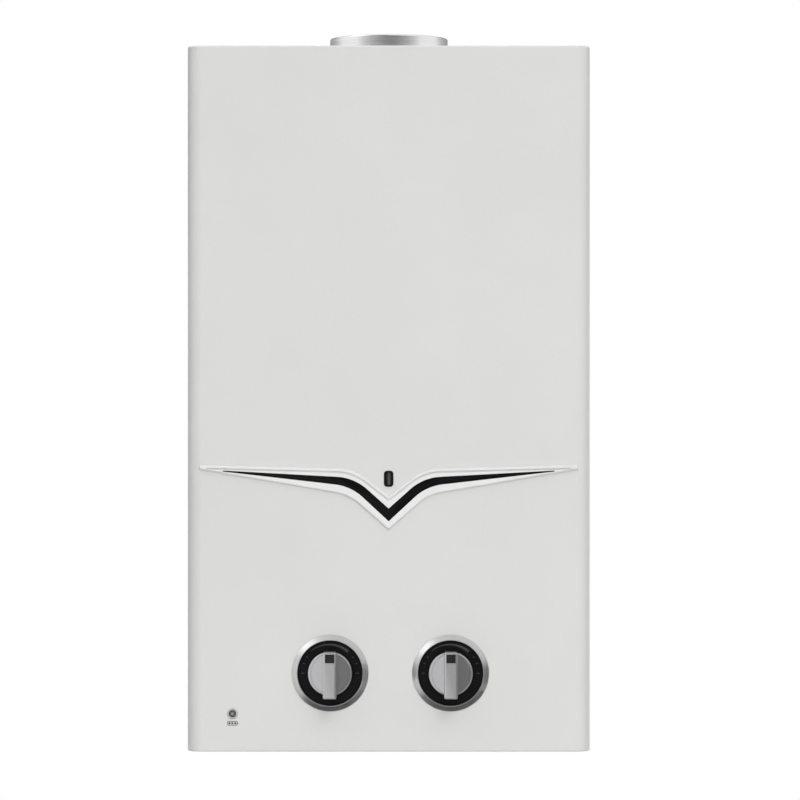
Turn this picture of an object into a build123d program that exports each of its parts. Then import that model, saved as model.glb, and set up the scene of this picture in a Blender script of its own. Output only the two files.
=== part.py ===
import os

from build123d import *

os.makedirs("parts", exist_ok=True)

# Wall-hung gas water heater, in millimetres. X is right and Z is up as seen from the front.
# The wall is the plane Y = 0, the front faces -Y, and the origin is amid the four wall holes.

# Case
CASE_W = 330.0
CASE_H = 578.0
CASE_D = 160.0
COVER_T = 0.8
CORNER_R = 12.0
FOLD_R = 3.0
TOP_FLANGE = 20.0
BOTTOM_FLANGE = 14.0

# Chassis
CHASSIS_T = 1.0
SIDE_FLANGE = 24.0
REAR_FLANGE = 11.0
RECESS = 28.0
AIR_GAP = 22.0
LAP = 10.0
WALL_HOLE_SIDE = 55.0
WALL_HOLE_END = 21.0
WALL_HOLE_R = 4.0
RIVET_R = 1.6
RIVET_HEAD_R = 3.0
RIVET_HEAD_T = 1.2
RIVET_X = 60.0
BEAD_SIDE = 55.0
BEAD_W = 14.0
BEAD_DEPTH = 2.2
BEAD_FROM_BOTTOM = 120.0
BEAD_FROM_TOP = 78.0
TAB_SIDE = 65.0
TAB_W = 18.0
TAB_DROP = 14.0
SCREW_R = 1.75
SCREW_HEAD_R = 3.4
SCREW_HEAD_T = 2.0
SCREW_TIP = 6.0
VENT_W = 5.0
VENT_PITCH = 16.0
VENT_ROWS = 5
TOP_VENT_L = 40.0
TOP_VENT_GAP = 12.0
DECK_VENT_PITCH = 14.0
DECK_VENT_L = 36.0
DECK_VENT_SIDE = 30.0
DECK_VENT_BACK = 10.0
DECK_VENT_ROWS = 6
REAR_VENT_L = 50.0
REAR_VENT_BACK = 20.0
REAR_VENT_ROWS = 3

# Clearances
RUN_GAP = 0.05
SLIP_GAP = 0.3

# Flue
FLUE_T = 1.2
COLLAR_RISE = 12.5
COLLAR_BRIM = 8.7
COLLAR_GAP = 2.0
COLLAR_SOCKET = 14.0
HOOD_BOX_H = 40.0
SPILL_SLOT_W = 120.0
SPILL_SLOT_H = 12.0

# Exchanger and burner
CORE_SIDE_ROOM = 67.0
CORE_END_ROOM = 24.0
CORE_T = 1.0
CORE_R = 8.0
SHELL_H = 248.0
FIN_BLOCK_H = 52.0
FIN_T = 0.5
FIN_PITCH = 5.0
FIN_EDGE = 10.0
TUBE_COUNT = 5
TUBE_EDGE = 10.0
TUBE_TURN_FLAT = 1.0
TUBE_STUB = 14.0
PIPE_R = 6.0
PIPE_T = 0.8
PIPE_BEND = 14.0
COIL_GAP = 0.3
COIL_STEP = 8.0
COIL_RISE = 78.0
COIL_DROP = 40.0
RISER_OUT = 30.0
BURNER_H = 72.0
BURNER_PITCH = 20.0
BURNER_HEAD_W = 13.0
BURNER_HEAD_H = 14.0
BURNER_WEB_W = 7.0
BURNER_T = 0.7
BURNER_SLITS = 8
LEDGE = 8.0
VENTURI_R = 6.8
VENTURI_T = 1.2
VENTURI_END_ROOM = 10.0
VENTURI_FLARE = 1.6
JET_GAP = 5.0
JET_R = 3.0
JET_L = 7.0
MANIFOLD_SIZE = 16.0
MANIFOLD_BORE_R = 5.0
MANIFOLD_RISE = 8.0
BRACKET_W = 20.0
BRACKET_H = 20.0

# Front panel
SIGHT_W = 7.8
SIGHT_H = 13.1
SIGHT_R = 2.6
SIGHT_LIFT = 42.1
SIGHT_LIP = 1.6
LAMP_SIDE = 37.2
LAMP_RISE = 31.2
LAMP_R = 2.8
LAMP_RING_R = 4.4
LAMP_RING_H = 1.2
LAMP_DEPTH = 9.0
TRIM_H = 2.4
TRIM_BEVEL = 1.3
TRIM_RISE = 181.3
TRIM_SIDE = 10.2
TRIM_BEND_R = 40.0
TRIM_ARM_X = 28.5
TRIM_ELBOW_X = 33.0
TRIM_TIP_TOP = 53.2
TRIM_TIP_LOW = 49.5
TRIM_ARM_TOP = 50.0
TRIM_ARM_LOW = 28.7
TRIM_NOTCH = 27.8
INLAY_SIDE = 29.4
INLAY_ARM_X = 28.1
INLAY_ELBOW_X = 30.9
INLAY_TIP_TOP = 48.6
INLAY_TIP_LOW = 48.0
INLAY_ARM_TOP = 42.5
INLAY_ARM_LOW = 36.0
INLAY_NOTCH = 17.3
INLAY_POINT = 7.3
INLAY_DEPTH = 1.4
INLAY_SINK = 0.4
TRIM_PEG_R = 1.6
TRIM_PEG_X = 90.0
TRIM_PEG_RISE = 44.0
TRIM_PEG_LOW = 13.5

# Knobs
KNOB_SHARE = 0.2988
PANEL_SHIFT = 1.4
KNOB_RISE = 64.5
BEZEL_R = 31.4
BEZEL_IN_R = 26.75
BEZEL_H = 4.2
BEZEL_FLOOR = 1.0
SPIGOT_R = 25.0
SPIGOT_T = 2.0
SPIGOT_L = 3.5
DIAL_T = 1.4
DIAL_HOLE_R = 7.0
KNOB_GAP = 0.6
KNOB_R = 18.05
KNOB_DISC_H = 8.0
KNOB_H = 21.0
KNOB_EDGE = 1.0
GRIP_W = 11.0
GRIP_HEAD = 18.3
GRIP_TAIL = 19.8
GRIP_EDGE = 1.4
POINTER_W = 7.6
POINTER_L = 7.1
POINTER_DEPTH = 1.5
POINTER_INSET = 1.6
SPINDLE_R = 4.0
SPINDLE_FLAT = 1.2
SPINDLE_IN_KNOB = 12.0
SPINDLE_IN_VALVE = 24.0
GLAND_FLATS = 17.0
GLAND_L = 9.0
SEAL_R = 1.4

# Valves
VALVE_SETBACK = 32.0
VALVE_D = 54.0
VALVE_EDGE = 4.0
GAS_H = 62.0
GAS_W = 58.0
WATER_H = 54.0
WATER_W = 46.0
ROD_BACK = 38.0
ROD_R = 2.5
ROD_TRAVEL = 4.0
ROD_COLLAR_R = 9.0
ROD_COLLAR_T = 4.0
CHAMBER_R = 11.0
CHAMBER_L = 36.0
SEAT_R = 7.0
SEAT_T = 6.0
OUTLET_R = 9.0
OUTLET_L = 8.0
DRILL_R = 3.5
PASSAGE_R = 3.0
POPPET_R = 9.5
POPPET_T = 4.0
SPRING_R = 7.5
SPRING_WIRE_R = 0.7
SPRING_TURNS = 6
SOLENOID_R = 15.0
SOLENOID_GAP = 7.1
SOLENOID_FLANGE = 40.0
SOLENOID_FLANGE_T = 4.0
DIAPHRAGM_R = 33.0
DIAPHRAGM_T = 1.5
WATER_CHAMBER_R = 22.5
WATER_CHAMBER_L = 9.0
WATER_FLANGE_L = 9.0
DOME_WALL = 3.0
DOME_L = 14.0
DOME_FLANGE_T = 5.0
VALVE_SCREWS = 6
VALVE_SCREW_PCD = 59.0
VALVE_SCREW_L = 12.5
VALVE_HOLE_L = 7.0
LIFT_PLATE_R = 16.0
LIFT_PLATE_T = 2.0
SWITCH_W = 10.0
SWITCH_H = 16.0
SWITCH_L = 20.0
PLUNGER_R = 1.5
PLUNGER_OUT = 3.0
PLUNGER_IN = 5.0

# Water and gas connections
THREAD_R = 10.48
THREAD_L = 15.0
HEX_FLATS = 27.0
HEX_T = 6.0
SOCKET_R = 9.0
SOCKET_L = 12.0
BORE_R = 6.5
UNION_FLATS = 22.0
UNION_L = 12.0
GAS_PORT_IN = 14.0
COLD_BACK = 38.0
DRAIN_BACK = 10.0
DRAIN_R = 5.0
DRAIN_L = 12.0
DRAIN_HEAD_R = 8.0
DRAIN_HEAD_T = 5.0
DRAIN_WING_T = 3.0
DRAIN_WING_H = 8.0
WATER_OUT_RISE = 20.0

# Ignition
IGNITER_W = 84.0
IGNITER_D = 24.0
IGNITER_H = 50.0
IGNITER_X = -52.0
IGNITER_RISE = 8.0
POST_R = 4.0
POST_H = 6.0
POST_X = 24.0
ELECTRODE_X = -34.0
ELECTRODE_PITCH = 28.0
ELECTRODE_LIFT = 10.0
ELECTRODE_STEP = 5.0
CERAMIC_R = 3.5
CERAMIC_OUT = 14.0
CERAMIC_IN = 8.0
CERAMIC_COLLAR_R = 6.0
CERAMIC_COLLAR_T = 3.0
WIRE_R = 1.1
WIRE_L = 26.0
LEAD_R = 1.8
LEAD_BEND = 4.0
LEAD_OUT = 12.0
THERMOSTAT_R = 8.0
THERMOSTAT_H = 9.0
CLIP_T = 1.2
CLIP_L = 14.0
CLIP_DROP = 90.0

# Batteries
CELL_D = 34.2
CELL_L = 61.5
CELL_GAP = 0.4
NUB_R = 4.5
NUB_H = 2.0
BOX_WALL = 2.0
BOX_LIP = 2.5
BOX_LIP_T = 2.0
BOX_MOUTH = 5.0
BOX_FROM_SIDE = 27.5
BOX_FROM_FRONT = 48.0
CONTACT_T = 0.8
CONTACT_R = 8.0
LID_T = 2.4
HINGE_OUT = 3.2
HINGE_R = 2.2
HINGE_PIN_R = 1.0
HINGE_HALF = 12.0
EAR_T = 3.0
LATCH_W = 14.0
LATCH_T = 2.0
LATCH_H = 6.0

# Planes and levels that several pieces share
HALF_W = CASE_W / 2
HALF_H = CASE_H / 2
FRONT = -CASE_D
IN_X = HALF_W - COVER_T
TOP_Z = HALF_H - COVER_T
ROOF_Z = TOP_Z - CHASSIS_T
BASE_Z = -HALF_H + RECESS
DECK_Z = BASE_Z + CHASSIS_T
PANEL_Y = -CHASSIS_T
WALL_X = HALF_W - WALL_HOLE_SIDE
WALL_Z = HALF_H - WALL_HOLE_END
BEAD_X = HALF_W - BEAD_SIDE
BEAD_Z = (BEAD_FROM_BOTTOM - BEAD_FROM_TOP) / 2
BEAD_L = CASE_H - BEAD_FROM_BOTTOM - BEAD_FROM_TOP
TAB_X = HALF_W - TAB_SIDE
COLLAR_FLANGE_R = CASE_D / 2 - TOP_FLANGE - COLLAR_GAP
FLUE_R = COLLAR_FLANGE_R - COLLAR_BRIM
COLLAR_RIVET_R = FLUE_R + COLLAR_BRIM / 2
CORE_W = CASE_W - 2 * CORE_SIDE_ROOM
CORE_D = CASE_D - 2 * CORE_END_ROOM
CORE_Y = -CASE_D / 2
CORE_FRONT = CORE_Y - CORE_D / 2
CORE_REAR = CORE_Y + CORE_D / 2
KNOB_Z = -HALF_H + KNOB_RISE
KNOB_PITCH = CASE_W * KNOB_SHARE
GAS_X = PANEL_SHIFT - KNOB_PITCH / 2
WATER_X = PANEL_SHIFT + KNOB_PITCH / 2
VALVE_FRONT = FRONT + VALVE_SETBACK
VALVE_REAR = VALVE_FRONT + VALVE_D
ROD_Y = VALVE_FRONT + ROD_BACK
GAS_LEFT = GAS_X - GAS_W / 2
GAS_RIGHT = GAS_X + GAS_W / 2
GAS_TOP = DECK_Z + GAS_H
GAS_IN_X = GAS_LEFT + GAS_PORT_IN
WATER_LEFT = WATER_X - WATER_W / 2
WATER_RIGHT = WATER_X + WATER_W / 2
FLANGE_X = WATER_RIGHT + WATER_FLANGE_L
COLD_Y = VALVE_FRONT + COLD_BACK
DRAIN_Y = VALVE_FRONT + DRAIN_BACK
SEAT_X = GAS_LEFT + CHAMBER_L
MANIFOLD_Y = VALVE_FRONT + MANIFOLD_SIZE
MANIFOLD_Z = GAS_TOP + MANIFOLD_RISE
JET_Z = MANIFOLD_Z + MANIFOLD_SIZE / 2
BURNER_Z = MANIFOLD_Z + MANIFOLD_SIZE + 2 * CHASSIS_T
BURNER_TOP = BURNER_Z + BURNER_H
BURNER_COUNT = int((CORE_W - 2 * LEDGE) / BURNER_PITCH)
SHELL_TOP = BURNER_TOP + SHELL_H
TUBE_Z = SHELL_TOP - FIN_BLOCK_H / 2 - 2 * CORE_T
TUBE_SPAN = CORE_D - 2 * TUBE_EDGE
TUBE_PITCH = TUBE_SPAN / (TUBE_COUNT - 1)
TUBE_BEND = (TUBE_PITCH - TUBE_TURN_FLAT) / 2
TUBE_FIRST_Y = CORE_Y - TUBE_SPAN / 2
HOT_Y = CORE_Y + TUBE_SPAN / 2
TUBE_END = CORE_W / 2 + TUBE_STUB
RISER_X = CORE_W / 2 + RISER_OUT
HOT_X = -RISER_X - PIPE_R
COIL_X = CORE_W / 2 + COIL_GAP + PIPE_R
COIL_FRONT = CORE_FRONT - COIL_GAP - PIPE_R
COIL_REAR = CORE_REAR + COIL_GAP + PIPE_R
COIL_Z = BURNER_TOP + COIL_RISE
LAMP_Z = -HALF_H + LAMP_RISE
LAMP_X = -HALF_W + LAMP_SIDE
TRIM_Z = -HALF_H + TRIM_RISE
SIGHT_Z = TRIM_Z + SIGHT_LIFT
TRIM_TIP_X = HALF_W - TRIM_SIDE
INLAY_TIP_X = HALF_W - INLAY_SIDE
DIAL_FACE = FRONT - BEZEL_FLOOR - DIAL_T
KNOB_BASE = DIAL_FACE - KNOB_GAP
BOX_X = -HALF_W + BOX_FROM_SIDE
BOX_Y = FRONT + BOX_FROM_FRONT
BOX_IN_W = CELL_D + 2 * CELL_GAP
BOX_W = BOX_IN_W + 2 * BOX_WALL
BOX_REAR = BOX_Y + BOX_W / 2
BOX_FRONT = BOX_Y - BOX_W / 2
SOLENOID_L = GAS_LEFT - SOLENOID_FLANGE_T - SOLENOID_GAP - BOX_X - BOX_W / 2
MOUTH_Z = BASE_Z - BOX_MOUTH
CELL_Z = MOUTH_Z + CONTACT_T
CELL_STEP = CELL_L + RUN_GAP
CONTACT_Z = CELL_Z + CELL_STEP + CELL_L
BOX_TOP = CONTACT_Z + CONTACT_T + BOX_WALL
HINGE_Y = BOX_REAR + HINGE_OUT
HINGE_Z = MOUTH_Z - SLIP_GAP - LID_T / 2
FACE = Plane(origin=(0, FRONT, 0), x_dir=(1, 0, 0), z_dir=(0, -1, 0))


def block(low, high, mode=Mode.ADD):
    """A box between two opposite corners."""
    size = Vector(high) - Vector(low)
    with Locations(Vector(low) + size / 2):
        Box(size.X, size.Y, size.Z, mode=mode)


def peg(start, end, radius, mode=Mode.ADD):
    """A round bar between two points."""
    span = Vector(end) - Vector(start)
    with Locations(Plane(origin=start, z_dir=span)):
        Cylinder(radius, span.length, align=(Align.CENTER, Align.CENTER, Align.MIN), mode=mode)


def hexagon(start, end, flats, mode=Mode.ADD):
    """A hexagonal bar between two points."""
    span = Vector(end) - Vector(start)
    with BuildSketch(Plane(origin=start, z_dir=span)) as section:
        RegularPolygon(flats / 2, 6, major_radius=False)
    extrude(section.sketch, amount=span.length, mode=mode)


def bent_tube(points, bend, radius, wall):
    """A tube, or a solid wire if the wall is the radius, along straight runs with round bends."""
    with BuildPart() as tube:
        with BuildLine() as path:
            FilletPolyline(*points, radius=bend)
        with BuildSketch(Plane(origin=path.line @ 0, z_dir=path.line % 0)):
            Circle(radius)
            if wall < radius:
                Circle(radius - wall, mode=Mode.SUBTRACT)
        sweep(path=path.line)
    return tube


def save(piece, name):
    """Label a finished piece and write it."""
    piece.part.label = name
    export_step(piece.part, f"parts/{name}.step")


# Case: the folded front cover, hung over the rear panel and open at the back
def cover_block(half_w, half_h, front, corner, fold):
    """The cover as a solid block with a round front and folded ends."""
    with BuildPart() as blank:
        with BuildSketch(Plane.XY.offset(-half_h)) as outline:
            with Locations((0, front / 2)):
                Rectangle(2 * half_w, -front)
            fillet(outline.vertices().group_by(Axis.Y)[0], corner)
        extrude(amount=2 * half_h)
        rims = blank.faces().sort_by(Axis.Z)[-1].edges().sort_by(Axis.Y)[:-1]
        rims += blank.faces().sort_by(Axis.Z)[0].edges().sort_by(Axis.Y)[:-1]
        fillet(rims, fold)
    return blank


cover_outside = cover_block(HALF_W, HALF_H, FRONT, CORNER_R, FOLD_R)
cover_inside = cover_block(IN_X, TOP_Z, FRONT + COVER_T, CORNER_R - COVER_T, FOLD_R - COVER_T)
TRIM_PEG_AT = [(side * TRIM_PEG_X, TRIM_Z + TRIM_PEG_RISE) for side in (-1, 1)]
TRIM_PEG_AT.append((0, TRIM_Z + TRIM_PEG_LOW))

with BuildPart() as front_cover:
    add(cover_outside.part)
    add(cover_inside.part, mode=Mode.SUBTRACT)
    block((-IN_X, FRONT + TOP_FLANGE, TOP_Z - FOLD_R), (IN_X, 1, HALF_H + 1), Mode.SUBTRACT)
    block((-IN_X, FRONT + BOTTOM_FLANGE, -HALF_H - 1), (IN_X, 1, FOLD_R - TOP_Z), Mode.SUBTRACT)
    for knob_x in (GAS_X, WATER_X):
        peg((knob_x, FRONT - 1, KNOB_Z), (knob_x, FRONT + 2, KNOB_Z), SPIGOT_R + SLIP_GAP, Mode.SUBTRACT)
    with BuildSketch(FACE):
        with Locations((0, SIGHT_Z)):
            RectangleRounded(SIGHT_W - 1, SIGHT_H - 1, SIGHT_R)
    extrude(amount=-2, mode=Mode.SUBTRACT)
    peg((LAMP_X, FRONT - 1, LAMP_Z), (LAMP_X, FRONT + 2, LAMP_Z), LAMP_R + 0.9, Mode.SUBTRACT)
    for peg_x, peg_z in TRIM_PEG_AT:
        peg((peg_x, FRONT - 1, peg_z), (peg_x, FRONT + 2, peg_z), TRIM_PEG_R + RUN_GAP, Mode.SUBTRACT)
save(front_cover, "front_cover")

# Rear panel: galvanised sheet with side flanges, two pressed beads and the four holes for the wall screws
RIVETS = [(-RIVET_X, ROOF_Z - REAR_FLANGE / 2), (RIVET_X, ROOF_Z - REAR_FLANGE / 2)]
RIVETS += [(-RIVET_X, DECK_Z + REAR_FLANGE / 2), (RIVET_X, DECK_Z + REAR_FLANGE / 2)]
BRACKET_Z = BURNER_Z + BURNER_H / 2
RIVETS += [(-RIVET_X, BRACKET_Z + BRACKET_H / 2), (RIVET_X, BRACKET_Z + BRACKET_H / 2)]

with BuildPart() as rear_panel:
    block((-IN_X, PANEL_Y, -TOP_Z), (IN_X, 0, TOP_Z))
    block((-IN_X, -SIDE_FLANGE, -TOP_Z), (CHASSIS_T - IN_X, 0, TOP_Z))
    block((IN_X - CHASSIS_T, -SIDE_FLANGE, -TOP_Z), (IN_X, 0, TOP_Z))
    for bead_x in (-BEAD_X, BEAD_X):
        with BuildSketch(Plane(origin=(bead_x, PANEL_Y, BEAD_Z), x_dir=(0, 0, 1), z_dir=(0, -1, 0))):
            SlotOverall(BEAD_L, BEAD_W)
        extrude(amount=BEAD_DEPTH, taper=20)
        with BuildSketch(Plane(origin=(bead_x, 0, BEAD_Z), x_dir=(0, 0, 1), z_dir=(0, -1, 0))):
            SlotOverall(BEAD_L - 2 * CHASSIS_T, BEAD_W - 2 * CHASSIS_T)
        extrude(amount=BEAD_DEPTH, taper=20, mode=Mode.SUBTRACT)
    for hole_x in (-WALL_X, WALL_X):
        for hole_z in (-WALL_Z, WALL_Z):
            peg((hole_x, -2, hole_z), (hole_x, 1, hole_z), WALL_HOLE_R, Mode.SUBTRACT)
    for rivet_x, rivet_z in RIVETS:
        peg((rivet_x, -2, rivet_z), (rivet_x, 1, rivet_z), RIVET_R, Mode.SUBTRACT)
save(rear_panel, "rear_panel")

# Top plate: closes the case behind the cover's top flange, laps under it and holds the flue collar
with BuildPart() as top_plate:
    block((CHASSIS_T - IN_X, FRONT + TOP_FLANGE, ROOF_Z), (IN_X - CHASSIS_T, PANEL_Y, TOP_Z))
    block((-IN_X + CORNER_R, FRONT + TOP_FLANGE - LAP, ROOF_Z), (IN_X - CORNER_R, CORE_Y, TOP_Z))
    block((-IN_X + CORNER_R, PANEL_Y - CHASSIS_T, ROOF_Z - REAR_FLANGE), (IN_X - CORNER_R, PANEL_Y, TOP_Z))
    peg((0, CORE_Y, ROOF_Z - 1), (0, CORE_Y, HALF_H), FLUE_R + SLIP_GAP, Mode.SUBTRACT)
    with Locations((0, CORE_Y, TOP_Z)):
        with PolarLocations(COLLAR_RIVET_R, 4, start_angle=45):
            Cylinder(RIVET_R, 4 * CHASSIS_T, mode=Mode.SUBTRACT)
    for side in (-1, 1):
        vent_x = side * (COLLAR_FLANGE_R + TOP_VENT_GAP + TOP_VENT_L / 2)
        with BuildSketch(Plane.XY.offset(TOP_Z)):
            with Locations((vent_x, CORE_Y)):
                with GridLocations(0, VENT_PITCH, 1, VENT_ROWS):
                    SlotOverall(TOP_VENT_L, VENT_W)
        extrude(amount=-2 * CHASSIS_T, mode=Mode.SUBTRACT)
    for rivet_x, rivet_z in RIVETS[:2]:
        peg((rivet_x, PANEL_Y - 5, rivet_z), (rivet_x, 0, rivet_z), RIVET_R, Mode.SUBTRACT)
save(top_plate, "top_plate")

# Bottom plate: recessed deck that carries the valves, the connections and the battery box
SCREW_Y = FRONT + COVER_T + AIR_GAP + LAP / 2
with BuildPart() as bottom_plate:
    block((CHASSIS_T - IN_X, FRONT + COVER_T + AIR_GAP, BASE_Z), (IN_X - CHASSIS_T, PANEL_Y, DECK_Z))
    block((-IN_X + CORNER_R, PANEL_Y - CHASSIS_T, BASE_Z), (IN_X - CORNER_R, PANEL_Y, DECK_Z + REAR_FLANGE))
    for port_x, port_y in ((GAS_IN_X, ROD_Y), (WATER_X, COLD_Y), (HOT_X, HOT_Y)):
        peg((port_x, port_y, BASE_Z - 1), (port_x, port_y, DECK_Z + 1), SOCKET_R + SLIP_GAP, Mode.SUBTRACT)
    peg((WATER_X, DRAIN_Y, BASE_Z - 1), (WATER_X, DRAIN_Y, DECK_Z + 1), DRAIN_R + SLIP_GAP, Mode.SUBTRACT)
    block(
        (BOX_X - BOX_W / 2 - SLIP_GAP, BOX_FRONT - SLIP_GAP, BASE_Z - 1),
        (BOX_X + BOX_W / 2 + SLIP_GAP, BOX_REAR + SLIP_GAP, DECK_Z + 1),
        Mode.SUBTRACT,
    )
    for tab_x in (-TAB_X, TAB_X):
        peg((tab_x, SCREW_Y, BASE_Z - 1), (tab_x, SCREW_Y, DECK_Z + 1), SCREW_R, Mode.SUBTRACT)
    with BuildSketch(Plane.XY.offset(BASE_Z)):
        with Locations((IN_X - DECK_VENT_SIDE, CORE_Y + DECK_VENT_BACK)):
            with GridLocations(0, DECK_VENT_PITCH, 1, DECK_VENT_ROWS):
                SlotOverall(DECK_VENT_L, VENT_W)
        with Locations((0, VALVE_REAR + REAR_VENT_BACK)):
            with GridLocations(0, DECK_VENT_PITCH, 1, REAR_VENT_ROWS):
                SlotOverall(REAR_VENT_L, VENT_W)
    extrude(amount=2 * CHASSIS_T, mode=Mode.SUBTRACT)
    for rivet_x, rivet_z in RIVETS[2:4]:
        peg((rivet_x, PANEL_Y - 5, rivet_z), (rivet_x, 0, rivet_z), RIVET_R, Mode.SUBTRACT)
save(bottom_plate, "bottom_plate")

# Rivets: heads on the inside, flush with the wall plane at the back
with BuildPart() as chassis_rivets:
    for rivet_x, rivet_z in RIVETS:
        head_y = PANEL_Y - CHASSIS_T
        peg((rivet_x, 0, rivet_z), (rivet_x, head_y, rivet_z), RIVET_R)
        peg((rivet_x, head_y, rivet_z), (rivet_x, head_y - RIVET_HEAD_T, rivet_z), RIVET_HEAD_R)
    with Locations((0, CORE_Y, ROOF_Z)):
        with PolarLocations(COLLAR_RIVET_R, 4, start_angle=45):
            Cylinder(RIVET_R, 2 * CHASSIS_T, align=(Align.CENTER, Align.CENTER, Align.MIN))
            Cylinder(RIVET_HEAD_R, RIVET_HEAD_T, align=(Align.CENTER, Align.CENTER, Align.MAX))
save(chassis_rivets, "chassis_rivets")

# Cover tabs: angle brackets welded inside the cover, screwed up into the bottom plate
with BuildPart() as cover_tabs:
    for tab_x in (-TAB_X, TAB_X):
        foot_y = FRONT + COVER_T + AIR_GAP + LAP
        block((tab_x - TAB_W / 2, FRONT + COVER_T, BASE_Z - CHASSIS_T), (tab_x + TAB_W / 2, foot_y, BASE_Z))
        block(
            (tab_x - TAB_W / 2, FRONT + COVER_T, BASE_Z - TAB_DROP),
            (tab_x + TAB_W / 2, FRONT + COVER_T + CHASSIS_T, BASE_Z),
        )
        peg((tab_x, SCREW_Y, BASE_Z - 3), (tab_x, SCREW_Y, BASE_Z), SCREW_R, Mode.SUBTRACT)
save(cover_tabs, "cover_tabs")

with BuildPart() as cover_screws:
    for tab_x in (-TAB_X, TAB_X):
        head_z = BASE_Z - CHASSIS_T
        peg((tab_x, SCREW_Y, head_z - SCREW_HEAD_T), (tab_x, SCREW_Y, head_z), SCREW_HEAD_R)
        peg((tab_x, SCREW_Y, head_z), (tab_x, SCREW_Y, DECK_Z + SCREW_TIP), SCREW_R)
        block(
            (tab_x - SCREW_HEAD_R, SCREW_Y - 0.5, head_z - SCREW_HEAD_T - 1),
            (tab_x + SCREW_HEAD_R, SCREW_Y + 0.5, head_z - SCREW_HEAD_T / 2),
            Mode.SUBTRACT,
        )
save(cover_screws, "cover_screws")

# Flue collar: rolled steel ring for the duct, with a flange riveted on the top plate and an inturned bead
COLLAR_TOP = HALF_H + COLLAR_RISE
SOCKET_Z = ROOF_Z - COLLAR_SOCKET
with BuildPart() as flue_collar:
    with BuildSketch(Plane.XZ) as collar_section:
        with BuildLine():
            Polyline(
                (FLUE_R - FLUE_T, SOCKET_Z),
                (FLUE_R, SOCKET_Z),
                (FLUE_R, TOP_Z),
                (COLLAR_FLANGE_R, TOP_Z),
                (COLLAR_FLANGE_R, TOP_Z + CHASSIS_T),
                (FLUE_R, TOP_Z + CHASSIS_T),
                (FLUE_R, COLLAR_TOP - FLUE_T),
                (FLUE_R - FLUE_T, COLLAR_TOP - FLUE_T),
                close=True,
            )
        make_face()
        with Locations((FLUE_R - FLUE_T, COLLAR_TOP - FLUE_T)):
            Circle(FLUE_T)
    revolve(axis=Axis.Z)
    with PolarLocations(COLLAR_RIVET_R, 4, start_angle=45):
        Cylinder(RIVET_R, 4 * HALF_H, mode=Mode.SUBTRACT)
    flue_collar.part.position = (0, CORE_Y, 0)
save(flue_collar, "flue_collar")

# Draught hood: gathers the flue gas above the exchanger, with spill slots, and ends in a round spigot
SPIGOT_OUT_R = FLUE_R - FLUE_T - SLIP_GAP
HOOD_TOP = SOCKET_Z + COLLAR_SOCKET - 2


def hood_block(inset, bottom, top):
    """The hood as a solid, drawn in by an inset on every wall."""
    with BuildPart() as blank:
        with BuildSketch(Plane.XY.offset(bottom)):
            with Locations((0, CORE_Y)):
                RectangleRounded(CORE_W - 2 * inset, CORE_D - 2 * inset, CORE_R - inset)
        extrude(amount=SHELL_TOP + HOOD_BOX_H - bottom)
        with BuildSketch(Plane.XY.offset(SHELL_TOP + HOOD_BOX_H)):
            with Locations((0, CORE_Y)):
                RectangleRounded(CORE_W - 2 * inset, CORE_D - 2 * inset, CORE_R - inset)
        with BuildSketch(Plane.XY.offset(SOCKET_Z - 2)):
            with Locations((0, CORE_Y)):
                Circle(SPIGOT_OUT_R - inset)
        loft()
        with BuildSketch(Plane.XY.offset(SOCKET_Z - 2)):
            with Locations((0, CORE_Y)):
                Circle(SPIGOT_OUT_R - inset)
        extrude(amount=top - SOCKET_Z + 2)
    return blank


hood_outside = hood_block(0, SHELL_TOP, HOOD_TOP)
hood_inside = hood_block(CORE_T, SHELL_TOP - 1, HOOD_TOP + 1)
with BuildPart() as draught_hood:
    add(hood_outside.part)
    add(hood_inside.part, mode=Mode.SUBTRACT)
    block(
        (-SPILL_SLOT_W / 2, CORE_FRONT - 1, SHELL_TOP + HOOD_BOX_H / 2 - SPILL_SLOT_H / 2),
        (SPILL_SLOT_W / 2, CORE_REAR + 1, SHELL_TOP + HOOD_BOX_H / 2 + SPILL_SLOT_H / 2),
        Mode.SUBTRACT,
    )
save(draught_hood, "draught_hood")

# V trim: a raised moulding across the front, held by three pegs, with a groove for a black inlay
TRIM_POINTS = [
    (-TRIM_TIP_X, TRIM_Z + TRIM_TIP_TOP),
    (-TRIM_ARM_X, TRIM_Z + TRIM_ARM_TOP),
    (0, TRIM_Z + TRIM_NOTCH),
    (TRIM_ARM_X, TRIM_Z + TRIM_ARM_TOP),
    (TRIM_TIP_X, TRIM_Z + TRIM_TIP_TOP),
    (TRIM_TIP_X, TRIM_Z + TRIM_TIP_LOW),
    (TRIM_ELBOW_X, TRIM_Z + TRIM_ARM_LOW),
    (0, TRIM_Z),
    (-TRIM_ELBOW_X, TRIM_Z + TRIM_ARM_LOW),
    (-TRIM_TIP_X, TRIM_Z + TRIM_TIP_LOW),
]
TRIM_RADII = [0, TRIM_BEND_R, 0, TRIM_BEND_R, 0, 0, TRIM_BEND_R, 0, TRIM_BEND_R, 0]
INLAY_POINTS = [
    (-INLAY_TIP_X, TRIM_Z + INLAY_TIP_TOP),
    (-INLAY_ARM_X, TRIM_Z + INLAY_ARM_TOP),
    (0, TRIM_Z + INLAY_NOTCH),
    (INLAY_ARM_X, TRIM_Z + INLAY_ARM_TOP),
    (INLAY_TIP_X, TRIM_Z + INLAY_TIP_TOP),
    (INLAY_TIP_X, TRIM_Z + INLAY_TIP_LOW),
    (INLAY_ELBOW_X, TRIM_Z + INLAY_ARM_LOW),
    (0, TRIM_Z + INLAY_POINT),
    (-INLAY_ELBOW_X, TRIM_Z + INLAY_ARM_LOW),
    (-INLAY_TIP_X, TRIM_Z + INLAY_TIP_LOW),
]

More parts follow.
